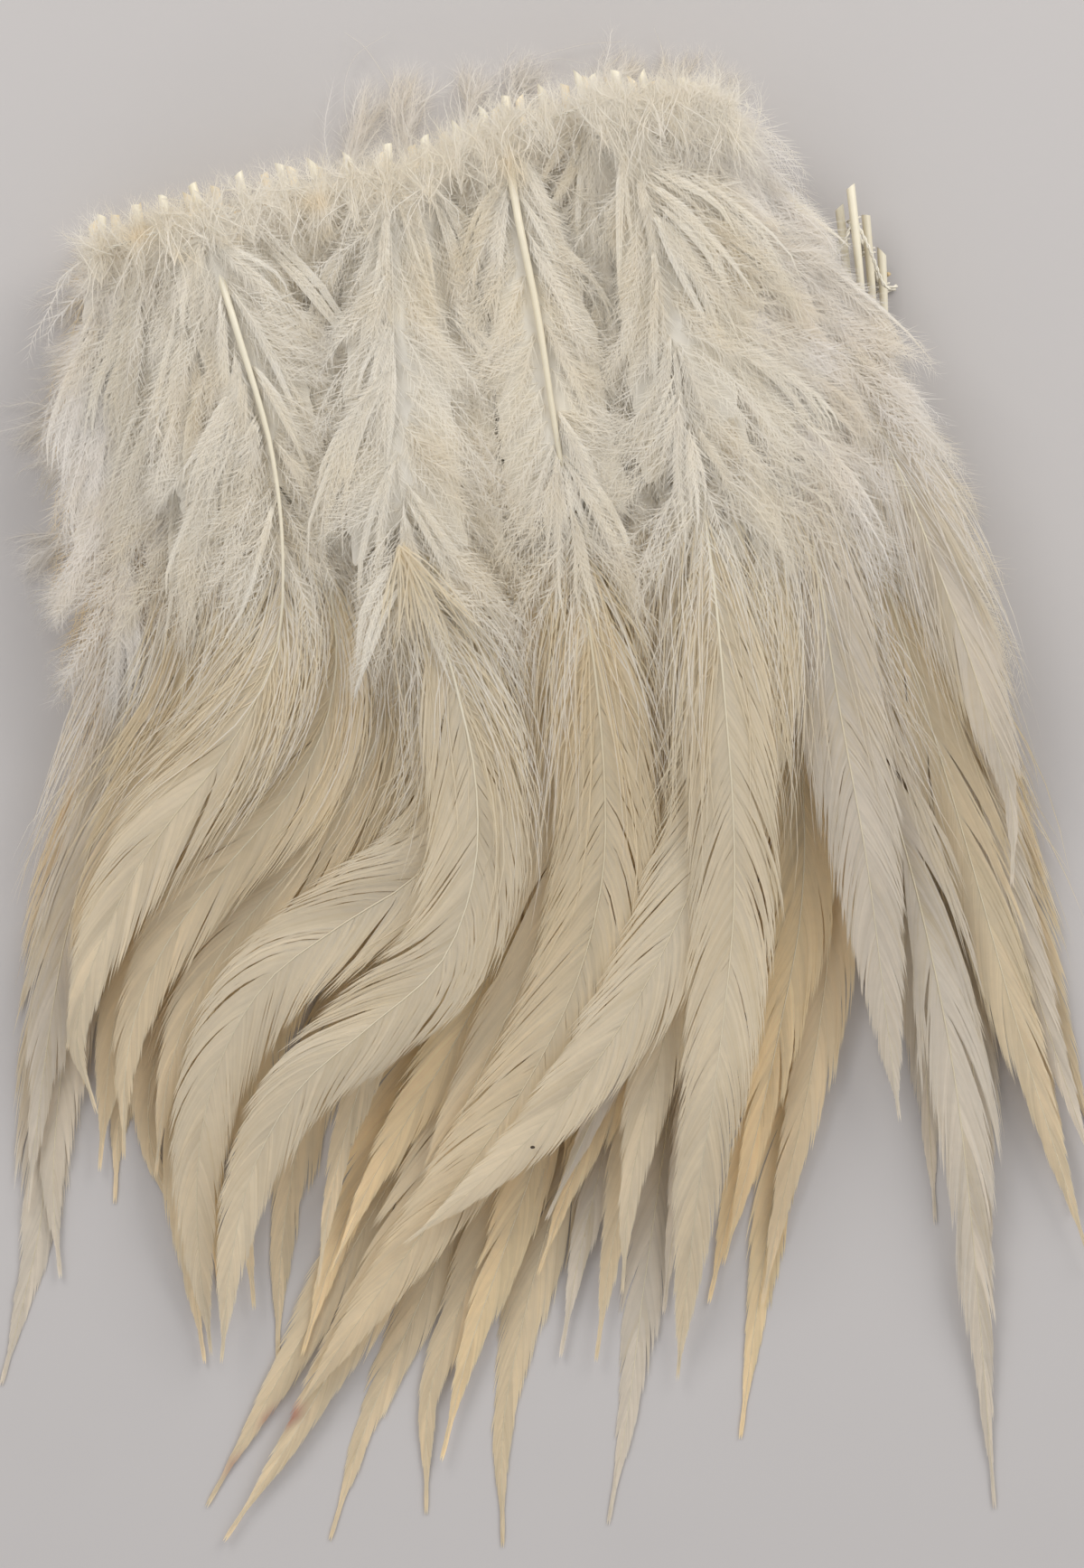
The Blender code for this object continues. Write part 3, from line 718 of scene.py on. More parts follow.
def add_vane(strands, plume, group, settings, rng):
    """The barbs of a vane, on both sides of its shaft."""
    end = plume.shaft.length
    fray = frayed(plume)
    share_along = np.linspace(0, 1, VANE_STEPS)[None]
    roll = rng.uniform(-VANE_ROLL, VANE_ROLL)
    for side in (1, -1):
        roots = np.arange(plume.down_end + VANE_FIRST, end - VANE_LAST, group.vane_spacing)
        count = len(roots)
        roots = roots + rng.uniform(-VANE_STRAY, VANE_STRAY, count) * group.vane_spacing
        reach, run = vane_size(plume, roots, settings)
        full = reach / plume.vane
        clump = clumps(count, LEAST_CLUMP, int(spread(CLUMP_SIZE, fray)), rng)
        tone_of_clump = rng.normal(1, spread(CLUMP_TONE, fray), count)[clump]
        lift_of_clump = rng.normal(0, spread(CLUMP_LIFT, fray), count)[clump] * full
        reach_of_clump = rng.normal(0, spread(CLUMP_REACH, fray), count)[clump]
        reach = reach * (1 + reach_of_clump + rng.normal(0, BARB_REACH, count))
        splits = random_splits(plume.down_end + FIRST_SPLIT, end - LAST_SPLIT, rng.integers(1, 4), rng)
        shift = gathered(roots, clump, in_between(settings.gather, settings.string_gather, fray)) * full
        shift = shift + rng.normal(0, spread(CLUMP_SHIFT, fray), count)[clump] * full
        shift = shift + parted(roots, splits) * full + rng.normal(0, spread(BARB_SHIFT, fray), count) * full
        shift = np.minimum(shift, np.maximum(end + PAST_TIP - roots - run, 0))
        curl = rng.uniform(*VANE_CURL)
        sway = in_mm(settings.ripple) * rng.normal(0, 1, (count, 1)) * full[:, None]
        outward = reach[:, None] * (1 - (1 - share_along) ** VANE_BEND)
        outward = outward + sway * share_along**3
        onward = run[:, None] * share_along**VANE_DRIFT + shift[:, None] * share_along**VANE_SHIFT
        across = side * outward
        up = across * np.tan(roll) + curl * (outward / plume.vane) ** 2
        up = up + lift_of_clump[:, None] * share_along
        up = up + rng.normal(0, BARB_LIFT, (count, 1)) * share_along
        lines = plume.shaft.place(roots[:, None] + onward, across, up)
        half = group.barb_width / 2 * shaped(VANE_TAPER, share_along) * rng.uniform(0.85, 1.15, (count, 1))
        tilt = side * (settings.tilt + rng.normal(0, BARB_TILT, count))
        paling, pale_from = TIP_PALING
        tone = tone_of_clump + rng.normal(0, BARB_TONE, count)
        tone = tone + paling * np.clip(roots / end - pale_from, 0, 1)
        turn, wavelength = VANE_WAVE
        bend = side * settings.crown * share_along + turn * drift(roots, wavelength, rng)[:, None]
        bend = bend + rng.normal(0, CLUMP_BEND, count)[clump][:, None]
        strands.add_barbs(lines, half, tilt, tone, VANE, bend)


def add_loose_barbs(strands, plume, group, rng):
    """Long free barbs where the down turns into the vane."""
    share_along = np.linspace(0, 1, LOOSE_STEPS)[None]
    count = group.hairs
    for side, finish in ((1, VANE), (-1, VANE), (1, DOWN), (-1, DOWN)):
        last = LOOSE_VANE_TO if finish == VANE else LOOSE_DOWN_TO
        roots = rng.uniform(plume.down_end + LOOSE_FROM, plume.down_end + last, count)
        reach = rng.uniform(*LOOSE_REACH, count) * plume.vane
        run = rng.uniform(*LOOSE_RUN, count)
        sway = rng.normal(0, LOOSE_SWAY, (count, 1))
        outward = reach[:, None] * (1 - (1 - share_along) ** rng.uniform(*LOOSE_BEND, (count, 1)))
        outward = outward + sway * np.sin(share_along * rng.uniform(*LOOSE_WAVES, (count, 1)))
        onward = run[:, None] * share_along**VANE_DRIFT
        up = rng.uniform(*LOOSE_LIFT, (count, 1)) * share_along * (1.4 - share_along)
        lines = plume.shaft.place(roots[:, None] + onward, side * outward, up)
        half = LOOSE_HALF * shaped(LOOSE_TAPER, share_along) * np.ones((count, 1))
        strands.add_barbs(lines, half, rng.normal(0, 0.4, count), rng.normal(1.0, 0.03, count), finish)


def add_fan(strands, plume, start, ends, rng):
    """Free barbs from one spot to given ends, a little bent, each with a few close neighbours."""
    share_along = np.linspace(0, 1, LOOSE_STEPS)[None, :, None]
    stops = np.repeat(np.array(ends, float), FAN_COPIES, axis=0)
    stops += rng.normal(0, 0.5, stops.shape)
    starts = np.array(start, float) + rng.normal(0, 0.3, stops.shape)
    count = len(stops)
    bend = rng.normal(0, 0.7, (count, 1, 2))
    flat = starts[:, None] * (1 - share_along) + stops[:, None] * share_along
    flat = flat + bend * np.sin(np.pi * share_along)
    along, _ = plume.shaft.beside(flat.reshape(-1, 2))
    height = np.interp(along, plume.shaft.at, plume.shaft.height).reshape(flat.shape[:2])
    height = height + FAN_HEIGHT + rng.uniform(-0.3, 0.3, (count, 1))
    lines = np.concatenate([flat, height[..., None]], axis=2)
    half = FAN_HALF * shaped(FAN_TAPER, share_along[..., 0]) * np.ones((count, 1))
    strands.add_barbs(lines, half, rng.normal(0, 0.3, count), rng.normal(1.06, 0.03, count), VANE)


# Down

def down_lift(plume, settings):
    return in_mm(settings.free_lift if plume.name in FREE_DOWN else settings.lift)


def add_barbules(strands, lines, count, settings, tone, rng, breadth=1.0):
    """Fine hairs along both sides of down barbs. Their normals round each barb into a soft strand.

    Breadth scales the width of the hairs.
    """
    barbs, steps = lines.shape[:2]
    share_along = np.linspace(0.04, 0.99, count)[None] + rng.uniform(-0.5, 0.5, (barbs, count)) / count
    place = np.clip(share_along, 0, 1) * (steps - 1)
    share_along = share_along.ravel()
    index = np.minimum(place.astype(int), steps - 2)
    part = (place - index)[..., None]
    row = np.arange(barbs)[:, None]
    start, stop = lines[row, index], lines[row, index + 1]
    roots = (start * (1 - part) + stop * part).reshape(-1, 3)
    ahead = unit((stop - start).reshape(-1, 3))
    total = len(roots)
    turn = rng.uniform(*BARBULE_TURN, total) * np.where(np.arange(total) % 2, 1, -1)
    rise = rng.uniform(*BARBULE_RISE, total)
    size = in_mm(settings.barbule) * rng.uniform(*BARBULE_SIZES, total)
    size *= shaped(BARBULE_LENGTHS, share_along)
    level = np.stack([
        ahead[:, 0] * np.cos(turn) - ahead[:, 1] * np.sin(turn),
        ahead[:, 0] * np.sin(turn) + ahead[:, 1] * np.cos(turn),
    ], axis=1)
    flat = np.cos(rise)[:, None]
    tips = roots + np.column_stack([level * flat, np.sin(rise) + ahead[:, 2] * 0.6]) * size[:, None]
    tips[:, 2] = np.maximum(tips[:, 2], LEAST_HEIGHT)
    base = ahead * (in_mm(settings.hair) / 2 * shaped(BARBULE_WIDTHS, share_along) * breadth)[:, None]
    tones = np.repeat(tone, count) + rng.normal(0, BARBULE_TONE, total)
    sideways = np.column_stack([-ahead[:, 1], ahead[:, 0], np.zeros(total)]) * np.sign(turn)[:, None]
    lean = np.repeat(rng.normal(0, settings.ruffle, (barbs, 3)), count, axis=0)
    at_root = unit(lean + (0, 0, 1))
    at_tip = unit(lean + sideways * settings.roundness + (0, 0, 1))
    strands.add_hairs(roots, base, tips, np.stack([at_root, at_root, at_tip], axis=1), tones, DOWN)


def add_soft_barbs(strands, lines, barbules, settings, tone, rng, breadth=1.0):
    """Down barbs along lines, with their barbules."""
    count = len(lines)
    half = in_mm(settings.barb) / 2 * shaped(DOWN_TAPER, np.linspace(0, 1, DOWN_STEPS))
    half = np.broadcast_to(half, (count, DOWN_STEPS))
    strands.add_barbs(lines, half, rng.normal(0, 0.3, count), tone, DOWN)
    add_barbules(strands, lines, barbules, settings, tone, rng, breadth)


def down_lines(plume, roots, across, run, shift, lift, arch, settings, rng):
    """Lines of waving down barbs. Their ends lie across from the shaft and run on towards the tip.

    A barb rises to its lift and comes down again, the sooner the smaller its arch is.
    """
    count = len(roots)
    share_along = np.linspace(0, 1, DOWN_STEPS)[None]
    waves = rng.uniform(*DOWN_WAVES, (count, 1))
    phase = rng.uniform(0, 2 * np.pi, (count, 1))
    sway = in_mm(settings.sway) * np.sin(2 * np.pi * waves * share_along + phase) * share_along
    outward = across[:, None] * (1 - (1 - share_along) ** DOWN_BEND) + sway
    onward = run[:, None] * share_along**DOWN_DRIFT + shift[:, None] * share_along**DOWN_SHIFT
    up = lift[:, None] * (np.sin(np.pi * share_along**arch) + DOWN_END_HEIGHT * share_along)
    return plume.shaft.place(roots[:, None] + onward, outward, up)


def clear_of_shaft(plume, roots, run, across, least):
    """The ends of barbs, moved aside where they would cross a bare stretch of the shaft."""
    bare_from, bare_to = BARE_SHAFTS.get(plume.name, (0.0, 0.0))
    crosses = (roots + run > bare_from + 2) & (roots < bare_to)
    return np.where(crosses, np.sign(across) * np.maximum(np.abs(across), least * plume.down), across)


def add_locks(strands, lines, tone, rng):
    """Soft strips just under the barbs, of the finest down."""
    lines = lines[::LOCK_SPACING].copy()
    count, steps = lines.shape[:2]
    share_along = np.linspace(0, 1, steps)
    lines[..., 2] = np.maximum(lines[..., 2] - LOCK_DROP * np.sin(np.pi * share_along), LEAST_HEIGHT)
    half = LOCK_WIDTH / 2 * shaped(LOCK_TAPER, share_along) * rng.uniform(*LOCK_WIDTHS, (count, 1))
    strands.add_barbs(lines, half, rng.normal(0, 0.05, count), tone[::LOCK_SPACING], FLEECE)


def add_fleece(strands, plume, group, settings, rng):
    """The dense soft layer within the down, under its barbs."""
    grid = (FLEECE_ROWS, FLEECE_COLUMNS)
    first_row, last_row = group.down_from + FLEECE_FIRST, plume.down_end - FLEECE_LAST
    roots = np.linspace(first_row, last_row, FLEECE_ROWS)[:, None]
    share_across = np.linspace(-1, 1, FLEECE_COLUMNS)[None]
    width = plume.down * shaped(DOWN_OUTLINE, (roots - DOWN_START) / (plume.down_end - DOWN_START))
    width = width * shaped(FLEECE_WIDTH, roots - group.down_from)
    width = width * rng.uniform(0.93, 1.04, (FLEECE_ROWS, 1))
    across = share_across * width
    height = FLEECE_HEIGHT * (1 - share_across**2) + FLEECE_EDGE + 0.07 * drift(roots + across, 9.0, rng)
    height = height * shaped(FLEECE_FADE, plume.down_end - roots)
    sweep = FLEECE_SWEEP * np.abs(share_across) ** 1.3 + rng.uniform(-1.5, 1.5, grid) * FLEECE_STRAY
    points = plume.shaft.place(roots + sweep, across, height * down_lift(plume, settings))
    points[..., 2] = np.maximum(points[..., 2], LEAST_HEIGHT)
    corner = np.arange(FLEECE_ROWS * FLEECE_COLUMNS).reshape(grid)
    a, b, c, d = corner[:-1, :-1], corner[:-1, 1:], corner[1:, :-1], corner[1:, 1:]
    faces = np.stack([np.stack([a, b, d], axis=-1), np.stack([a, d, c], axis=-1)]).reshape(-1, 3)
    first, second, third = points.reshape(-1, 3)[faces.T]
    falling = np.cross(second - first, third - first)[:, 2] < 0
    faces[falling] = faces[falling][:, ::-1]
    lean = rng.normal(0, 0.06, (*grid, 3))
    tone = 1.0 + 0.015 * drift(roots - 0.6 * np.abs(across), 7.0, rng)
    strands.add(points, faces, unit(lean + (0, 0, 1)).reshape(-1, 3), tone.ravel(), FLEECE)


def add_down(strands, plume, group, settings, rng):
    """Down barbs with their barbules, from the quill to the start of the vane."""
    for side in (1, -1):
        roots = np.arange(group.down_from, plume.down_end - DOWN_STOP, group.down_spacing)
        count = len(roots)
        roots = roots + rng.uniform(-0.4, 0.4, count) * group.down_spacing
        along = (roots - DOWN_START) / (plume.down_end - DOWN_START)
        clump = clumps(count, *DOWN_CLUMP, rng)
        reach = plume.down * shaped(DOWN_OUTLINE, along) * rng.uniform(0.65, 1.1, count)[clump]
        reach *= rng.uniform(0.85, 1.1, count)
        reach *= shaped(DOWN_GROWTH, roots - group.down_from)
        run = rng.uniform(4.0, 15.0, count)[clump] * rng.uniform(0.85, 1.15, count)
        run = np.where(roots < DOWN_START, reach * rng.uniform(-0.6, 1.2, count), run)
        shift = gathered(roots, clump, settings.gather) + rng.normal(0, 0.7, count)[clump]
        lift = down_lift(plume, settings) * (0.75 + 0.15 * drift(roots, 13.0, rng))
        lift = lift + rng.normal(0, 0.05, count)
        lines = down_lines(plume, roots, side * reach, run, shift, lift, 0.8, settings, rng)
        tone = rng.normal(1, 0.006, count) + rng.normal(0, 0.018, count)[clump]
        add_soft_barbs(strands, lines, group.barbules, settings, tone, rng)


def add_felt(strands, plume, group, settings, rng):
    """Single soft barbs that fill the down between its tufts."""
    count = group.felt
    roots = rng.uniform(group.down_from, plume.down_end - DOWN_STOP + 2, count)
    run = rng.uniform(*FELT_RUN, count)
    across = rng.uniform(-1.0, 1.0, count) * plume.down
    across = clear_of_shaft(plume, roots, run, across, CLEAR_FELT)
    lift = down_lift(plume, settings) * rng.uniform(*FELT_LIFT, count)
    lines = down_lines(plume, roots, across, run, np.zeros(count), lift, 0.6, settings, rng)
    add_soft_barbs(strands, lines, group.barbules, settings, rng.normal(1, 0.012, count), rng, FELT_BREADTH)


def add_crossing_down(strands, plume, group, settings, rng):
    """Down that lies along and over the shaft, and hides it."""
    count = group.crossing
    lock = clumps(count, *CROSSING_CLUMP, rng)
    roots = rng.uniform(group.down_from, plume.down_end - DOWN_STOP - 3, count)[lock]
    roots = np.clip(roots + rng.normal(0, 0.9, count), group.down_from, plume.down_end - DOWN_STOP)
    run = rng.uniform(*CROSSING_RUN, count)[lock] * rng.uniform(0.85, 1.15, count)
    across = np.clip(rng.normal(0, 0.6, count)[lock], -0.95, 0.95) * plume.down + rng.normal(0, 0.9, count)
    across = clear_of_shaft(plume, roots, run, across, CLEAR_CROSSING)
    lift = down_lift(plume, settings) * rng.uniform(*CROSSING_LIFT, count)[lock]
    lift = lift + rng.normal(0, 0.04, count)
    lines = down_lines(plume, roots, across, run, np.zeros(count), lift, 0.55, settings, rng)
    tone = rng.normal(1.01, 0.022, count)[lock] + rng.normal(0, 0.006, count)
    add_locks(strands, lines, tone, rng)
    add_soft_barbs(strands, lines, group.barbules + CROSSING_BARBULES, settings, tone, rng)


# Whole feathers

def add_shaft(strands, plume, settings, rng):
    """The quill and shaft, with its slanting cut."""
    at = np.linspace(0, 1, SHAFT_RINGS) ** RING_SPREAD
    run = at * plume.shaft.length
    rise = 0.0
    if plume.name in BARE_SHAFTS:
        bare_from, bare_to = BARE_SHAFTS[plume.name]
        places = np.array([bare_from, bare_from, bare_to, bare_to]) + BARE_EASE
        rise = BARE_RISE * np.interp(run, places, (0, 1, 1, 0)) * down_lift(plume, settings)
    line = plume.shaft.place(run, 0.0, rise)
    radius = shaped(SHAFT_TAPER, at)
    line[:, 2] = np.maximum(line[:, 2], radius + FLOOR_GAP)
    tone = rng.normal(1, 0.03) * np.interp(run, plume.down_end + np.array(TONE_EASE), (1.0, VANE_SHAFT_TONE))
    strands.add_tube(line, radius, SHAFT_SIDES, QUILL, CUT_SLANT * rng.uniform(-1, 1), tone)


def make_feather(name, group, settings):
    """One feather in place of its solid."""
    rng = seeded(name)
    plume = read_plume(name)
    strands = Strands()
    add_shaft(strands, plume, settings.down, rng)
    add_vane(strands, plume, group, settings.vane, rng)
    add_loose_barbs(strands, plume, group, rng)
    if group is not UNDER:
        add_fleece(strands, plume, group, settings.down, rng)
    add_down(strands, plume, group, settings.down, rng)
    add_felt(strands, plume, group, settings.down, rng)
    add_crossing_down(strands, plume, group, settings.down, rng)
    if name in FANS:
        add_fan(strands, plume, *FANS[name], rng)
    slot = plume.slot
    finishes = [vane_material(slot), down_material(slot), quill_material(), fleece_material(slot)]
    obj = strands.build(f"plume_{name[len('feather_'):]}", finishes, group.depth)
    place_piece(obj, name)


def make_group(group, settings):
    for name in nodes_of(group.prefix):
        make_feather(name, group, settings)


# Materials

def new_node(tree, kind, x, y, **values):
    node = tree.nodes.new(kind)
    node.location = (x, y)
    for key, value in values.items():
        setattr(node, key, value)
    return node


def link(tree, start, stop):
    tree.links.new(start, stop)


def new_group(name, inputs, outputs):
    """An empty shader group with named sockets: (name, socket type, default)."""
    tree = bpy.data.node_groups.new(name, "ShaderNodeTree")
    for label, kind, default in inputs:
        socket = tree.interface.new_socket(label, in_out="INPUT", socket_type=kind)
        socket.default_value = default
    for label, kind in outputs:
        tree.interface.new_socket(label, in_out="OUTPUT", socket_type=kind)
    return tree


def mix_colour(tree, x, y, factor, first, second, blend="MIX"):
    """A colour mix node. Each of the three is a socket or a value. Returns its result."""
    node = new_node(tree, "ShaderNodeMix", x, y, data_type="RGBA", blend_type=blend, clamp_factor=True)
    for index, value in ((0, factor), (6, first), (7, second)):
        if isinstance(value, bpy.types.NodeSocket):
            link(tree, value, node.inputs[index])
        elif isinstance(value, (int, float)):
            node.inputs[index].default_value = value
        else:
            node.inputs[index].default_value = (*value, 1)
    return node.outputs[2]


def maths(tree, x, y, operation, first, second=0.0, third=0.0):
    """A maths node. Each of the values is a socket or a number. Returns its result."""
    node = new_node(tree, "ShaderNodeMath", x, y, operation=operation)
    for index, value in enumerate((first, second, third)):
        if isinstance(value, bpy.types.NodeSocket):
            link(tree, value, node.inputs[index])
        else:
            node.inputs[index].default_value = value
    return node.outputs[0]


def noise(tree, x, y, scale, detail, vector):
    """A noise over a piece, in its own metres. Returns its value."""
    node = new_node(tree, "ShaderNodeTexNoise", x, y)
    node.inputs["Scale"].default_value = scale
    node.inputs["Detail"].default_value = detail
    link(tree, vector, node.inputs["Vector"])
    return node.outputs["Fac"]


def attribute(tree, x, y, name):
    return new_node(tree, "ShaderNodeAttribute", x, y, attribute_name=name).outputs["Fac"]


def colours():
    return bpy.context.scene.hackle.colours


def barb_colour_group():
    """Colour of a strand: tint and tone, warm patches, mottling, painted warm shade where it lies deep, glue
    marks and a stain.
    """
    if "Barb Colour" in bpy.data.node_groups:
        return bpy.data.node_groups["Barb Colour"]
    inputs = [
        ("Tint", "NodeSocketColor", (0.8, 0.8, 0.8, 1)),
        ("Warm", "NodeSocketColor", (0.7, 0.5, 0.3, 1)),
        ("Warmth", "NodeSocketFloat", 0.2),
        ("Mottle", "NodeSocketFloat", 0.1),
    ]
    tree = new_group("Barb Colour", inputs, [("Colour", "NodeSocketColor")])
    given = new_node(tree, "NodeGroupInput", -1200, 0)
    made = new_node(tree, "NodeGroupOutput", 850, 0)
    space = new_node(tree, "ShaderNodeTexCoord", -1200, -400).outputs["Object"]
    tone = attribute(tree, -1200, 300, "tone")
    broad = noise(tree, -900, -300, 70.0, 3.0, space)
    fine = noise(tree, -900, -600, 900.0, 2.0, space)
    patch = maths(tree, -700, -300, "MULTIPLY_ADD", broad, 3.2, -1.3)
    patch = maths(tree, -500, -300, "MULTIPLY", patch, given.outputs["Warmth"])
    shade = maths(tree, -700, -100, "MULTIPLY_ADD", tone, -4.0, 4.0)
    patch = maths(tree, -400, -200, "ADD", patch, shade)
    warm = mix_colour(tree, -300, 200, patch, given.outputs["Tint"], given.outputs["Warm"])
    spread_of_tone = maths(tree, -500, -600, "SUBTRACT", fine, 0.5)
    spread_of_tone = maths(tree, -300, -600, "MULTIPLY_ADD", spread_of_tone, given.outputs["Mottle"], 1.0)
    strength = maths(tree, -100, -400, "MULTIPLY", spread_of_tone, tone)
    grey = new_node(tree, "ShaderNodeCombineColor", 100, -300)
    for channel in ("Red", "Green", "Blue"):
        link(tree, strength, grey.inputs[channel])
    result = mix_colour(tree, 350, 100, 1.0, warm, grey.outputs["Color"], "MULTIPLY")
    # Painted warm shade where the piece lies deep; the glue marks take the same tint
    depth = attribute(tree, 350, -500, "depth")
    result = mix_colour(tree, 480, 300, depth, result, tuple(colours().deep_vane))
    stain = attribute(tree, 350, -300, "stain")
    result = mix_colour(tree, 600, 100, stain, result, tuple(colours().stain))
    link(tree, result, made.inputs["Colour"])
    return tree


def new_material(name):
    """(material, its node tree, its Principled shader, its output)."""
    material = bpy.data.materials.new(name)
    material.use_nodes = True
    tree = material.node_tree
    return material, tree, tree.nodes["Principled BSDF"], tree.nodes["Material Output"]


def barb_material(name, tint, warmth, mottle, roughness, passing):
    """A strand's finish. Passing is the share of the light that goes through it."""
    if name in bpy.data.materials:
        return bpy.data.materials[name]
    material, tree, shader, output = new_material(name)
    barb = new_node(tree, "ShaderNodeGroup", -400, 0, node_tree=barb_colour_group())
    barb.inputs["Tint"].default_value = (*tint, 1)
    barb.inputs["Warm"].default_value = (*colours().gold_vane, 1)
    barb.inputs["Warmth"].default_value = warmth
    barb.inputs["Mottle"].default_value = mottle
    link(tree, barb.outputs["Colour"], shader.inputs["Base Color"])
    shader.inputs["Roughness"].default_value = roughness
    thin = new_node(tree, "ShaderNodeBsdfTranslucent", 0, -500)
    link(tree, barb.outputs["Colour"], thin.inputs["Color"])
    both = new_node(tree, "ShaderNodeMixShader", 400, 200)
    both.inputs[0].default_value = passing
    link(tree, shader.outputs[0], both.inputs[1])
    link(tree, thin.outputs[0], both.inputs[2])
    link(tree, both.outputs[0], output.inputs["Surface"])
    return material


def vane_material(slot):
    """Smooth silky barbs."""
    tint = getattr(colours(), f"{slot}_vane")
    return barb_material(f"{slot} vane", tint, warmth=0.3, mottle=0.08, roughness=0.4, passing=0.5)


def down_tone(slot):
    """Down has two tones, one for the greyish feathers and one for all others."""
    return "pearl" if slot == "pearl" else "warm"


def down_material(slot):
    """Matt soft down."""
    tone = down_tone(slot)
    tint = getattr(colours(), f"{tone}_down")
    return barb_material(f"{tone} down", tint, warmth=0.22, mottle=0.02, roughness=0.85, passing=0.55)


def fleece_material(slot):
    """The densest down, which hardly lets light through."""
    # The fleece tint is darker than the down's own colour, as painted shade of the down's depth
    tone = down_tone(slot)
    tint = getattr(colours(), f"{tone}_fleece")
    return barb_material(f"{tone} fleece", tint, warmth=0.3, mottle=0.03, roughness=0.9, passing=0.1)


def quill_material():
    """Pale horn, a little yellow in places."""
    return barb_material("quill horn", colours().quill, warmth=0.2, mottle=0.1, roughness=0.3, passing=0.15)


def plain_material(name, tint, roughness, scale, spread, bump):
    """A matt surface with mottled colour and a fine bump, in metres."""
    if name in bpy.data.materials:
        return bpy.data.materials[name]
    material, tree, shader, _ = new_material(name)
    space = new_node(tree, "ShaderNodeTexCoord", -1000, 0).outputs["Object"]
    value = noise(tree, -800, 0, scale, 4.0, space)
    factor = maths(tree, -600, 0, "MULTIPLY_ADD", value, spread, -spread / 2)
    dark = tuple(channel * 0.6 for channel in tint)
    result = mix_colour(tree, -300, 100, factor, tint, dark)
    link(tree, result, shader.inputs["Base Color"])
    shader.inputs["Roughness"].default_value = roughness
    relief = new_node(tree, "ShaderNodeBump", -300, -300)
    relief.inputs["Distance"].default_value = bump
    link(tree, value, relief.inputs["Height"])
    link(tree, relief.outputs[0], shader.inputs["Normal"])
    return material


# Sewing

SEWING = {
    "thread_right_fold": RIGHT,
    "thread_under_fold": UNDER,
    "thread_upper_fold": UPPER,
}
THREAD_STEP = 0.45
THREAD_SIDES = 5
THREAD_RADIUS = 0.3
THREAD_OVERHANG = 1.6
PLY_NEST = 0.9  # the plies press into each other by the rest
LOOP_TURNS, LOOP_STEPS, LOOP_RADIUS = 1.6, 26, 0.14
LOOP_LEAST_HEIGHT = 0.16
LOOP_LENGTH = (0.6, 1.4)  # along the quill
SEARCH = np.linspace(-1.2, 1.2, 9)
FAR = 200.0


def solid_tree(name):
    mesh = frame["nodes"][name].data
    return BVHTree.FromPolygons([v.co / MM for v in mesh.vertices], [p.vertices for p in mesh.polygons])


def hit_height(tree, x, y, from_above):
    """Height at which a vertical ray meets a solid, or None."""
    start = Vector((x, y, FAR if from_above else -FAR))
    hit = tree.ray_cast(start, Vector((0, 0, -1 if from_above else 1)))[0]
    return None if hit is None else hit.z


def thread_heights(tree, route, from_above):
    """Heights of the thread's centre line at the places of a route."""
    found, heights = [], []
    for index, (x, y) in enumerate(route):
        hits = [hit_height(tree, x, y + step, from_above) for step in SEARCH]
        hits = [hit for hit in hits if hit is not None]
        if hits:
            found.append(index)
            heights.append(max(hits) - THREAD_RADIUS if from_above else min(hits) + THREAD_RADIUS)
    return np.interp(np.arange(len(route)), found, heights)


def crossings_of(group):
    """Places (x, y, z) where the thread meets each quill, from left to right, with the shafts."""
    met = []
    for name in nodes_of(group.prefix):
        shaft = read_plume(name).shaft
        met.append((shaft.place(THREAD_SETBACK, 0.0, 0.0), shaft))
    met.sort(key=lambda pair: pair[0][0])
    return met


def add_twist(strands, line, settings):
    """Two plies twisted round a line."""
    run = distances(line)
    at = np.arange(0, run[-1], THREAD_STEP)
    centre = np.column_stack([np.interp(at, run, line[:, k]) for k in (0, 1, 2)])
    ahead = unit(np.gradient(centre, axis=0))
    side = np.cross((0.0, 0.0, 1.0), ahead)
    up = np.cross(ahead, side)
    turn = 2 * np.pi * at / in_mm(settings.pitch)
    ply = in_mm(settings.ply)
    for phase in (0, np.pi):
        around = side * np.cos(turn + phase)[:, None] + up * np.sin(turn + phase)[:, None]
        strands.add_tube(centre + around * ply * PLY_NEST, ply, THREAD_SIDES, VANE)


def make_sewing(thread, group, settings):
    """The thread of one fold: a run over the quills, a run under them and a loop round each."""
    rng = seeded(thread)
    strands = Strands()
    met = crossings_of(group)
    points = np.array([spot for spot, _ in met])
    overhang = np.array([THREAD_OVERHANG, 0, 0])
    route = np.array([points[0] - overhang, *points, points[-1] + overhang])
    tree = solid_tree(thread)
    for from_above in (True, False):
        line = route.copy()
        line[:, 2] = thread_heights(tree, route[:, :2], from_above)
        dense, _ = smooth_curve(line)
        add_twist(strands, dense, settings.sewing)
    turn = np.linspace(0, 2 * np.pi * LOOP_TURNS, LOOP_STEPS)[:, None]
    size = in_mm(settings.sewing.loop)
    for spot, shaft in met:
        ahead = shaft.place(THREAD_SETBACK + 0.5, 0.0, 0.0) - spot
        ahead /= np.linalg.norm(ahead)
        side = np.cross((0.0, 0.0, 1.0), ahead)
        side /= np.linalg.norm(side)
        up = np.cross(ahead, side)
        loop = spot + (side * np.cos(turn) + up * np.sin(turn)) * size
        loop = loop + ahead * (turn / turn.max() - 0.5) * rng.uniform(*LOOP_LENGTH)
        loop[:, 2] = np.maximum(loop[:, 2], LOOP_LEAST_HEIGHT)
        strands.add_tube(loop, LOOP_RADIUS, THREAD_SIDES, VANE)
    cotton = plain_material("cotton thread", tuple(settings.colours.thread), 0.8, 2500.0, 0.7, 0.0001)
    obj = strands.build(f"sewing_{thread[len('thread_'):]}", [cotton])
    place_piece(obj, thread)


# Glue, loose fluff and grit

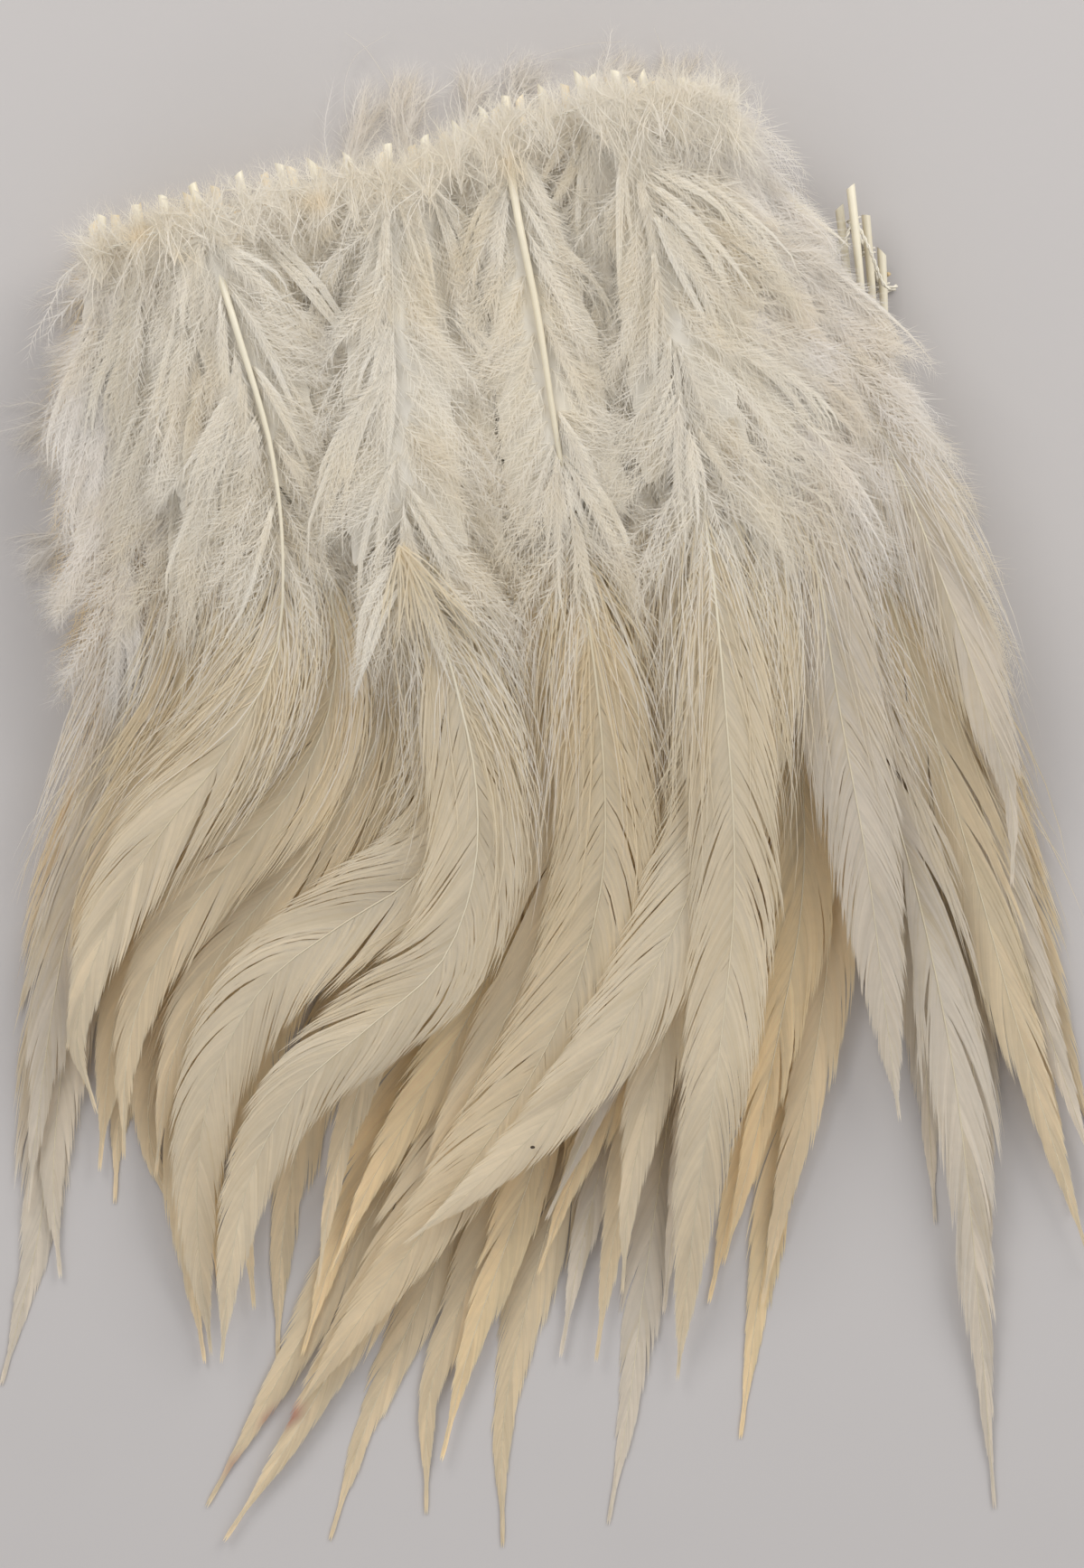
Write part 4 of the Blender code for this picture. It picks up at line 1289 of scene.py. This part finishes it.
DAB_RINGS, DAB_SIDES = 4, 9
DAB_RIM_HEIGHT, DAB_TOP, DAB_BOTTOM = 0.3, 0.32, 0.15  # as shares of its size
SPECK = (-1.0, -39.8)  # in plan
SPECK_SIZE = 0.55
SPECK_RISE = 0.75  # over the solid, to lie on the vane

# Tufts that stand clear of the bunch at its left side: root, middle and end in plan, and half width
SIDE_TUFTS = (
    ((-49, 58), (-52, 54), (-54.5, 49), 4.0),
    ((-49, 50), (-53, 46), (-57, 44), 4.0),
    ((-49, 44), (-55, 40), (-59.5, 37), 4.5),
    ((-48, 40), (-53, 35), (-56, 31), 4.0),
    ((-48, 29), (-54, 27), (-59, 24), 3.5),
    ((-48, 24), (-53, 21), (-57.5, 19), 3.5),
    ((-48, 15), (-52, 12), (-55, 9), 3.0),
    ((-47, 6), (-50, 2), (-51.5, -2), 3.0),
)

# Tufts that stand up past the cut quill ends
TOP_TUFTS = (
    ((-22, 67), (-20, 73), (-17.5, 79), 3.5),
    ((-15, 68), (-15.5, 74), (-14, 81), 3.5),
    ((-9, 70), (-8, 76), (-6.5, 81.5), 3.5),
    ((-3, 72), (-3, 77), (0, 82), 3.0),
    ((6, 74), (8, 79), (11, 82.5), 3.0),
    ((13, 74), (15, 79), (15.5, 83), 3.0),
    ((17, 73), (20, 77), (22.5, 80), 3.0),
)

# Single long hairs that arch over the top: the places each runs through, in plan
WISPS = (
    ((-8, 72), (-5.5, 77), (-2, 80.5), (4, 82.5), (9, 83)),
    ((-9, 71), (-6.5, 76), (-3.5, 79), (1, 81), (5, 80.5)),
    ((-20, 69), (-22, 76), (-21, 81), (-17, 84)),
    ((-14, 70), (-16.5, 77), (-19.5, 82), (-22, 84)),
    ((12, 76), (13.5, 81), (12.5, 84.5)),
    ((14, 76), (17.5, 79), (20, 82)),
    ((18, 74), (22, 75), (23.5, 71)),
)
WISP_RADIUS = 0.06
TUFT_BARBS = 3.2  # soft barbs for each millimetre of a tuft
TUFT_BARBULES = 44
TUFT_BREADTH = 0.3  # of its barbules, as a multiple of other down's

# Down over the sewn line: soft barbs for each quill of a fold
SEAM_BARBS = ((UPPER, 44), (UNDER, 3))
SEAM_BARBULES = 24
SEAM_BREADTH = 0.5  # the same, over the sewn line
SEAM_UPWARDS = 0.6  # the share of them that point at the cut ends
SEAM_WIDTH = 2.4
SEAM_LIFT = 0.45
SEAM_CEILING = 0.8  # under the top of the solids


class Pile:
    """Height of the top of all solids over a place."""

    def __init__(self):
        self.trees = [solid_tree(name) for name in nodes_of()]
        self.boxes = [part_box(name) for name in nodes_of()]

    def top(self, x, y):
        best = 0.0
        for tree, (low, high) in zip(self.trees, self.boxes):
            if low.x <= x * MM <= high.x and low.y <= y * MM <= high.y:
                hit = hit_height(tree, x, y, True)
                best = max(best, hit or 0.0)
        return best


def make_glue(settings):
    """Dry dabs of glue along the seam, on the quills."""
    rng = seeded("glue")
    strands = Strands()
    size = in_mm(settings.sewing.dab)
    for group in (UPPER, UNDER, RIGHT):
        for spot, shaft in crossings_of(group):
            for _ in range(rng.integers(0, 3)):
                centre = shaft.place(THREAD_SETBACK + rng.uniform(-1.6, 1.8), rng.uniform(-0.7, 0.7), 0.25)
                add_dab(strands, centre, size * rng.uniform(0.45, 1.0), rng)
    tint = tuple(settings.colours.glue)
    obj = strands.build("glue_dabs", [plain_material("dry glue", tint, 0.35, 900.0, 0.9, 0.0002)])
    place_piece(obj)


def add_dab(strands, centre, size, rng):
    """One lump of glue: a low rounded cap with an uneven rim."""
    turn = np.arange(DAB_SIDES) * 2 * np.pi / DAB_SIDES
    rim = 1 + rng.uniform(-0.3, 0.3, DAB_SIDES)
    stretch = rng.uniform(0.6, 1.5)
    points = []
    for level in range(DAB_RINGS):
        fall = np.pi / 2 * (level + 1) / DAB_RINGS
        radius = size / 2 * np.sin(fall) * rim
        height = size * DAB_RIM_HEIGHT * np.cos(fall) * np.ones(DAB_SIDES)
        points.append(np.column_stack([radius * np.cos(turn), radius * np.sin(turn) * stretch, height]))
    points = np.concatenate([[[0, 0, size * DAB_TOP]], *points, [[0, 0, -size * DAB_BOTTOM]]]) + centre
    points[:, 2] = np.maximum(points[:, 2], LEAST_HEIGHT)
    faces = []
    bottom = len(points) - 1
    for k in range(DAB_SIDES):
        after = (k + 1) % DAB_SIDES
        faces.append((0, 1 + k, 1 + after))
        for level in range(DAB_RINGS - 1):
            a, b = 1 + level * DAB_SIDES + k, 1 + level * DAB_SIDES + after
            faces += [(a, a + DAB_SIDES, b + DAB_SIDES), (a, b + DAB_SIDES, b)]
        a, b = 1 + (DAB_RINGS - 1) * DAB_SIDES + k, 1 + (DAB_RINGS - 1) * DAB_SIDES + after
        faces.append((bottom, b, a))
    normals = unit(points - centre + (0, 0, size * 0.1))
    strands.add(points, np.array(faces), normals, 1.0, VANE)


def make_speck():
    """A crumb of dirt on one of the vanes."""
    rng = seeded("speck")
    strands = Strands()
    x, y = SPECK
    add_dab(strands, np.array([x, y, Pile().top(x, y) + SPECK_RISE]), SPECK_SIZE, rng)
    dirt = plain_material("dark dirt", (0.05, 0.035, 0.02), 0.8, 4000.0, 0.8, 0.00002)
    place_piece(strands.build("dirt_speck", [dirt]))


def loose_tuft(strands, tuft, pile, settings, rng):
    """Long soft barbs that spread along a line."""
    *plan, width = tuft
    points = [(x, y, 0.6 + 0.75 * pile.top(x, y)) for x, y in plan]
    shaft = Shaft(points, 1.0)
    plume = Plume("tuft", "pearl", shaft, width, width, shaft.length)
    count = int(shaft.length * TUFT_BARBS)
    roots = rng.uniform(-3, shaft.length * 0.6, count)
    run = rng.uniform(0.4, 1.0, count) * (shaft.length - roots)
    across = rng.normal(0, 0.5, count) * width
    lift = rng.uniform(-0.6, 1.2, count)
    lines = down_lines(plume, roots, across, run, np.zeros(count), lift, 0.8, settings.down, rng)
    tone = rng.normal(1, 0.02, count)
    add_soft_barbs(strands, lines, TUFT_BARBULES, settings.down, tone, rng, TUFT_BREADTH)


def make_seam_down(settings):
    """Short soft barbs over the sewn line, up to the cut ends."""
    rng = seeded("seam down")
    pile = Pile()
    strands = Strands()
    for group, per_quill in SEAM_BARBS:
        for spot, shaft in crossings_of(group):
            plume = Plume("seam", "ivory", shaft, 0.0, 0.0, 0.0)
            upwards = rng.random(per_quill) < SEAM_UPWARDS
            roots = np.where(upwards, rng.uniform(2.5, 8.5, per_quill), rng.uniform(0.5, 6.0, per_quill))
            ends = rng.uniform(-0.8, 2.8, per_quill)
            run = np.where(upwards, ends - roots, rng.uniform(3.0, 8.0, per_quill))
            across = rng.normal(0, SEAM_WIDTH, per_quill)
            lift = np.full(per_quill, SEAM_LIFT)
            lines = down_lines(plume, roots, across, run, across * 0, lift, 0.7, settings.down, rng)
            ground = pile.top(spot[0], spot[1]) + rng.uniform(-0.3, 0.6, (per_quill, 1))
            ceiling = CAD_BOX[1].z / MM - SEAM_CEILING
            lines[..., 2] = np.minimum(lines[..., 2] - spot[2] + ground, ceiling)
            tone = rng.normal(1, 0.02, per_quill)
            add_soft_barbs(strands, lines, SEAM_BARBULES, settings.down, tone, rng, SEAM_BREADTH)
    finishes = [vane_material("ivory"), down_material("ivory")]
    place_piece(strands.build("seam_fluff", finishes, golden=GLUE_MARKS))


def make_loose_down(name, tufts, wisps, slot, settings):
    """Tufts and hairs of down that stand clear of the feathers."""
    rng = seeded(name)
    pile = Pile()
    strands = Strands()
    for tuft in tufts:
        loose_tuft(strands, tuft, pile, settings, rng)
    for wisp in wisps:
        dense, _ = smooth_curve([(x, y, 1.2 + pile.top(x, y)) for x, y in wisp])
        strands.add_tube(dense, np.linspace(WISP_RADIUS, WISP_RADIUS / 3, len(dense)), 4, DOWN)
    place_piece(strands.build(name, [vane_material(slot), down_material(slot)]))


# Stage

PHOTO_HEIGHT = 173.5  # what the picture spans from top to bottom, on the middle of the bunch
PHOTO_CENTRE = 0.25  # the picture's middle lies this far up the bunch
BUNCH_MIDDLE = 8.0
SENSOR = 36.0
FLOOR_HALF = 4.0  # in metres


def make_floor(settings):
    mesh = bpy.data.meshes.new("paper_floor")
    half = FLOOR_HALF
    corners = [(-half, -half, 0), (half, -half, 0), (half, half, 0), (-half, half, 0)]
    mesh.from_pydata(corners, [], [(0, 1, 2, 3)])
    floor = bpy.data.objects.new("paper_floor", mesh)
    bpy.context.scene.collection.objects.link(floor)
    tint = tuple(settings.colours.paper)
    mesh.materials.append(plain_material("pale paper", tint, 0.85, 45.0, 0.12, 0.00005))


def add_light(name, place, power, size, tint):
    light = bpy.data.lights.new(name, "AREA")
    light.energy = power
    light.size = size
    light.color = tint
    lamp = bpy.data.objects.new(name, light)
    lamp.location = place
    lamp.rotation_euler = (-lamp.location).to_track_quat("-Z", "Y").to_euler()
    lamp.visible_camera = False
    bpy.context.scene.collection.objects.link(lamp)


def make_lights(settings):
    """A key light from the upper left, a broad one from the upper right and an even sky."""
    stage = settings.stage
    add_light("key_light", (-0.34, 0.50, 0.56), stage.key, stage.key_size, (1.0, 0.985, 0.96))
    add_light("fill_light", (0.42, 0.54, 0.46), stage.fill, stage.fill_size, (1.0, 0.99, 0.97))
    world = bpy.data.worlds.new("soft_sky")
    world.use_nodes = True
    sky = world.node_tree.nodes["Background"]
    sky.inputs["Color"].default_value = (0.96, 0.965, 1.0, 1)
    sky.inputs["Strength"].default_value = stage.sky
    bpy.context.scene.world = world


def make_camera(settings):
    """A camera that looks straight down, framed as the photograph is."""
    distance = settings.stage.distance
    data = bpy.data.cameras.new("camera")
    data.sensor_width = SENSOR
    data.lens = SENSOR * (distance - BUNCH_MIDDLE * MM) / (PHOTO_HEIGHT * MM)
    data.clip_end = 50
    camera = bpy.data.objects.new("camera", data)
    camera.location = (0, PHOTO_CENTRE * MM, distance)
    bpy.context.scene.collection.objects.link(camera)
    bpy.context.scene.camera = camera


# Operators

class HACKLE_OT_right_fold(bpy.types.Operator):
    """Dress the feathers of the lower fold at the right"""

    bl_idname = "hackle.right_fold"
    bl_label = "Right Fold"

    def execute(self, context):
        make_group(RIGHT, context.scene.hackle)
        return {"FINISHED"}


class HACKLE_OT_under_feathers(bpy.types.Operator):
    """Dress the feathers that lie deepest"""

    bl_idname = "hackle.under_feathers"
    bl_label = "Under Feathers"

    def execute(self, context):
        make_group(UNDER, context.scene.hackle)
        return {"FINISHED"}


class HACKLE_OT_upper_feathers(bpy.types.Operator):
    """Dress the feathers that lie on top"""

    bl_idname = "hackle.upper_feathers"
    bl_label = "Upper Feathers"

    def execute(self, context):
        make_group(UPPER, context.scene.hackle)
        return {"FINISHED"}


class HACKLE_OT_sewing(bpy.types.Operator):
    """Sew the quills of each fold with twisted thread"""

    bl_idname = "hackle.sewing"
    bl_label = "Sewing"

    def execute(self, context):
        for thread, group in SEWING.items():
            make_sewing(thread, group, context.scene.hackle)
        return {"FINISHED"}


class HACKLE_OT_glue(bpy.types.Operator):
    """Put dry glue on the seam and a speck of dirt on a vane"""

    bl_idname = "hackle.glue"
    bl_label = "Glue and Dirt"

    def execute(self, context):
        make_glue(context.scene.hackle)
        make_speck()
        return {"FINISHED"}


class HACKLE_OT_loose_down(bpy.types.Operator):
    """Add the tufts and hairs that stand clear of the bunch"""

    bl_idname = "hackle.loose_down"
    bl_label = "Loose Down"

    def execute(self, context):
        make_seam_down(context.scene.hackle)
        make_loose_down("side_fluff", SIDE_TUFTS, (), "pearl", context.scene.hackle)
        make_loose_down("top_fluff", TOP_TUFTS, WISPS, "pearl", context.scene.hackle)
        return {"FINISHED"}


class HACKLE_OT_stage(bpy.types.Operator):
    """Make the paper, the light and the camera"""

    bl_idname = "hackle.stage"
    bl_label = "Stage"

    def execute(self, context):
        settings = context.scene.hackle
        make_floor(settings)
        make_lights(settings)
        make_camera(settings)
        context.scene.view_settings.view_transform = "Standard"
        return {"FINISHED"}


class HACKLE_PT_sidebar(bpy.types.Panel):
    """Lists the pieces of the bunch and their settings"""

    bl_label = "Strung Saddle Hackle"
    bl_idname = "HACKLE_PT_sidebar"
    bl_space_type = "VIEW_3D"
    bl_region_type = "UI"
    bl_category = "Hackle"

    def draw(self, context):
        settings = context.scene.hackle
        for operator in OPERATORS:
            self.layout.operator(operator.bl_idname)
        for label in ("vane", "down", "sewing", "colours", "stage"):
            box = self.layout.box()
            box.label(text=label.title())
            group = getattr(settings, label)
            for key in group.__annotations__:
                box.prop(group, key)


SETTINGS = (VaneSettings, DownSettings, SewingSettings, ColourSettings, StageSettings, HackleSettings)
OPERATORS = (
    HACKLE_OT_right_fold,
    HACKLE_OT_under_feathers,
    HACKLE_OT_upper_feathers,
    HACKLE_OT_sewing,
    HACKLE_OT_glue,
    HACKLE_OT_loose_down,
    HACKLE_OT_stage,
)


def register():
    for cls in (*SETTINGS, *OPERATORS, HACKLE_PT_sidebar):
        bpy.utils.register_class(cls)
    bpy.types.Scene.hackle = PointerProperty(type=HackleSettings)


def unregister():
    del bpy.types.Scene.hackle
    for cls in reversed((*SETTINGS, *OPERATORS, HACKLE_PT_sidebar)):
        bpy.utils.unregister_class(cls)


def main():
    register()
    bpy.ops.hackle.right_fold()
    bpy.ops.hackle.under_feathers()
    bpy.ops.hackle.upper_feathers()
    bpy.ops.hackle.sewing()
    bpy.ops.hackle.glue()
    bpy.ops.hackle.loose_down()
    bpy.ops.hackle.stage()


if __name__ == "__main__":
    main()
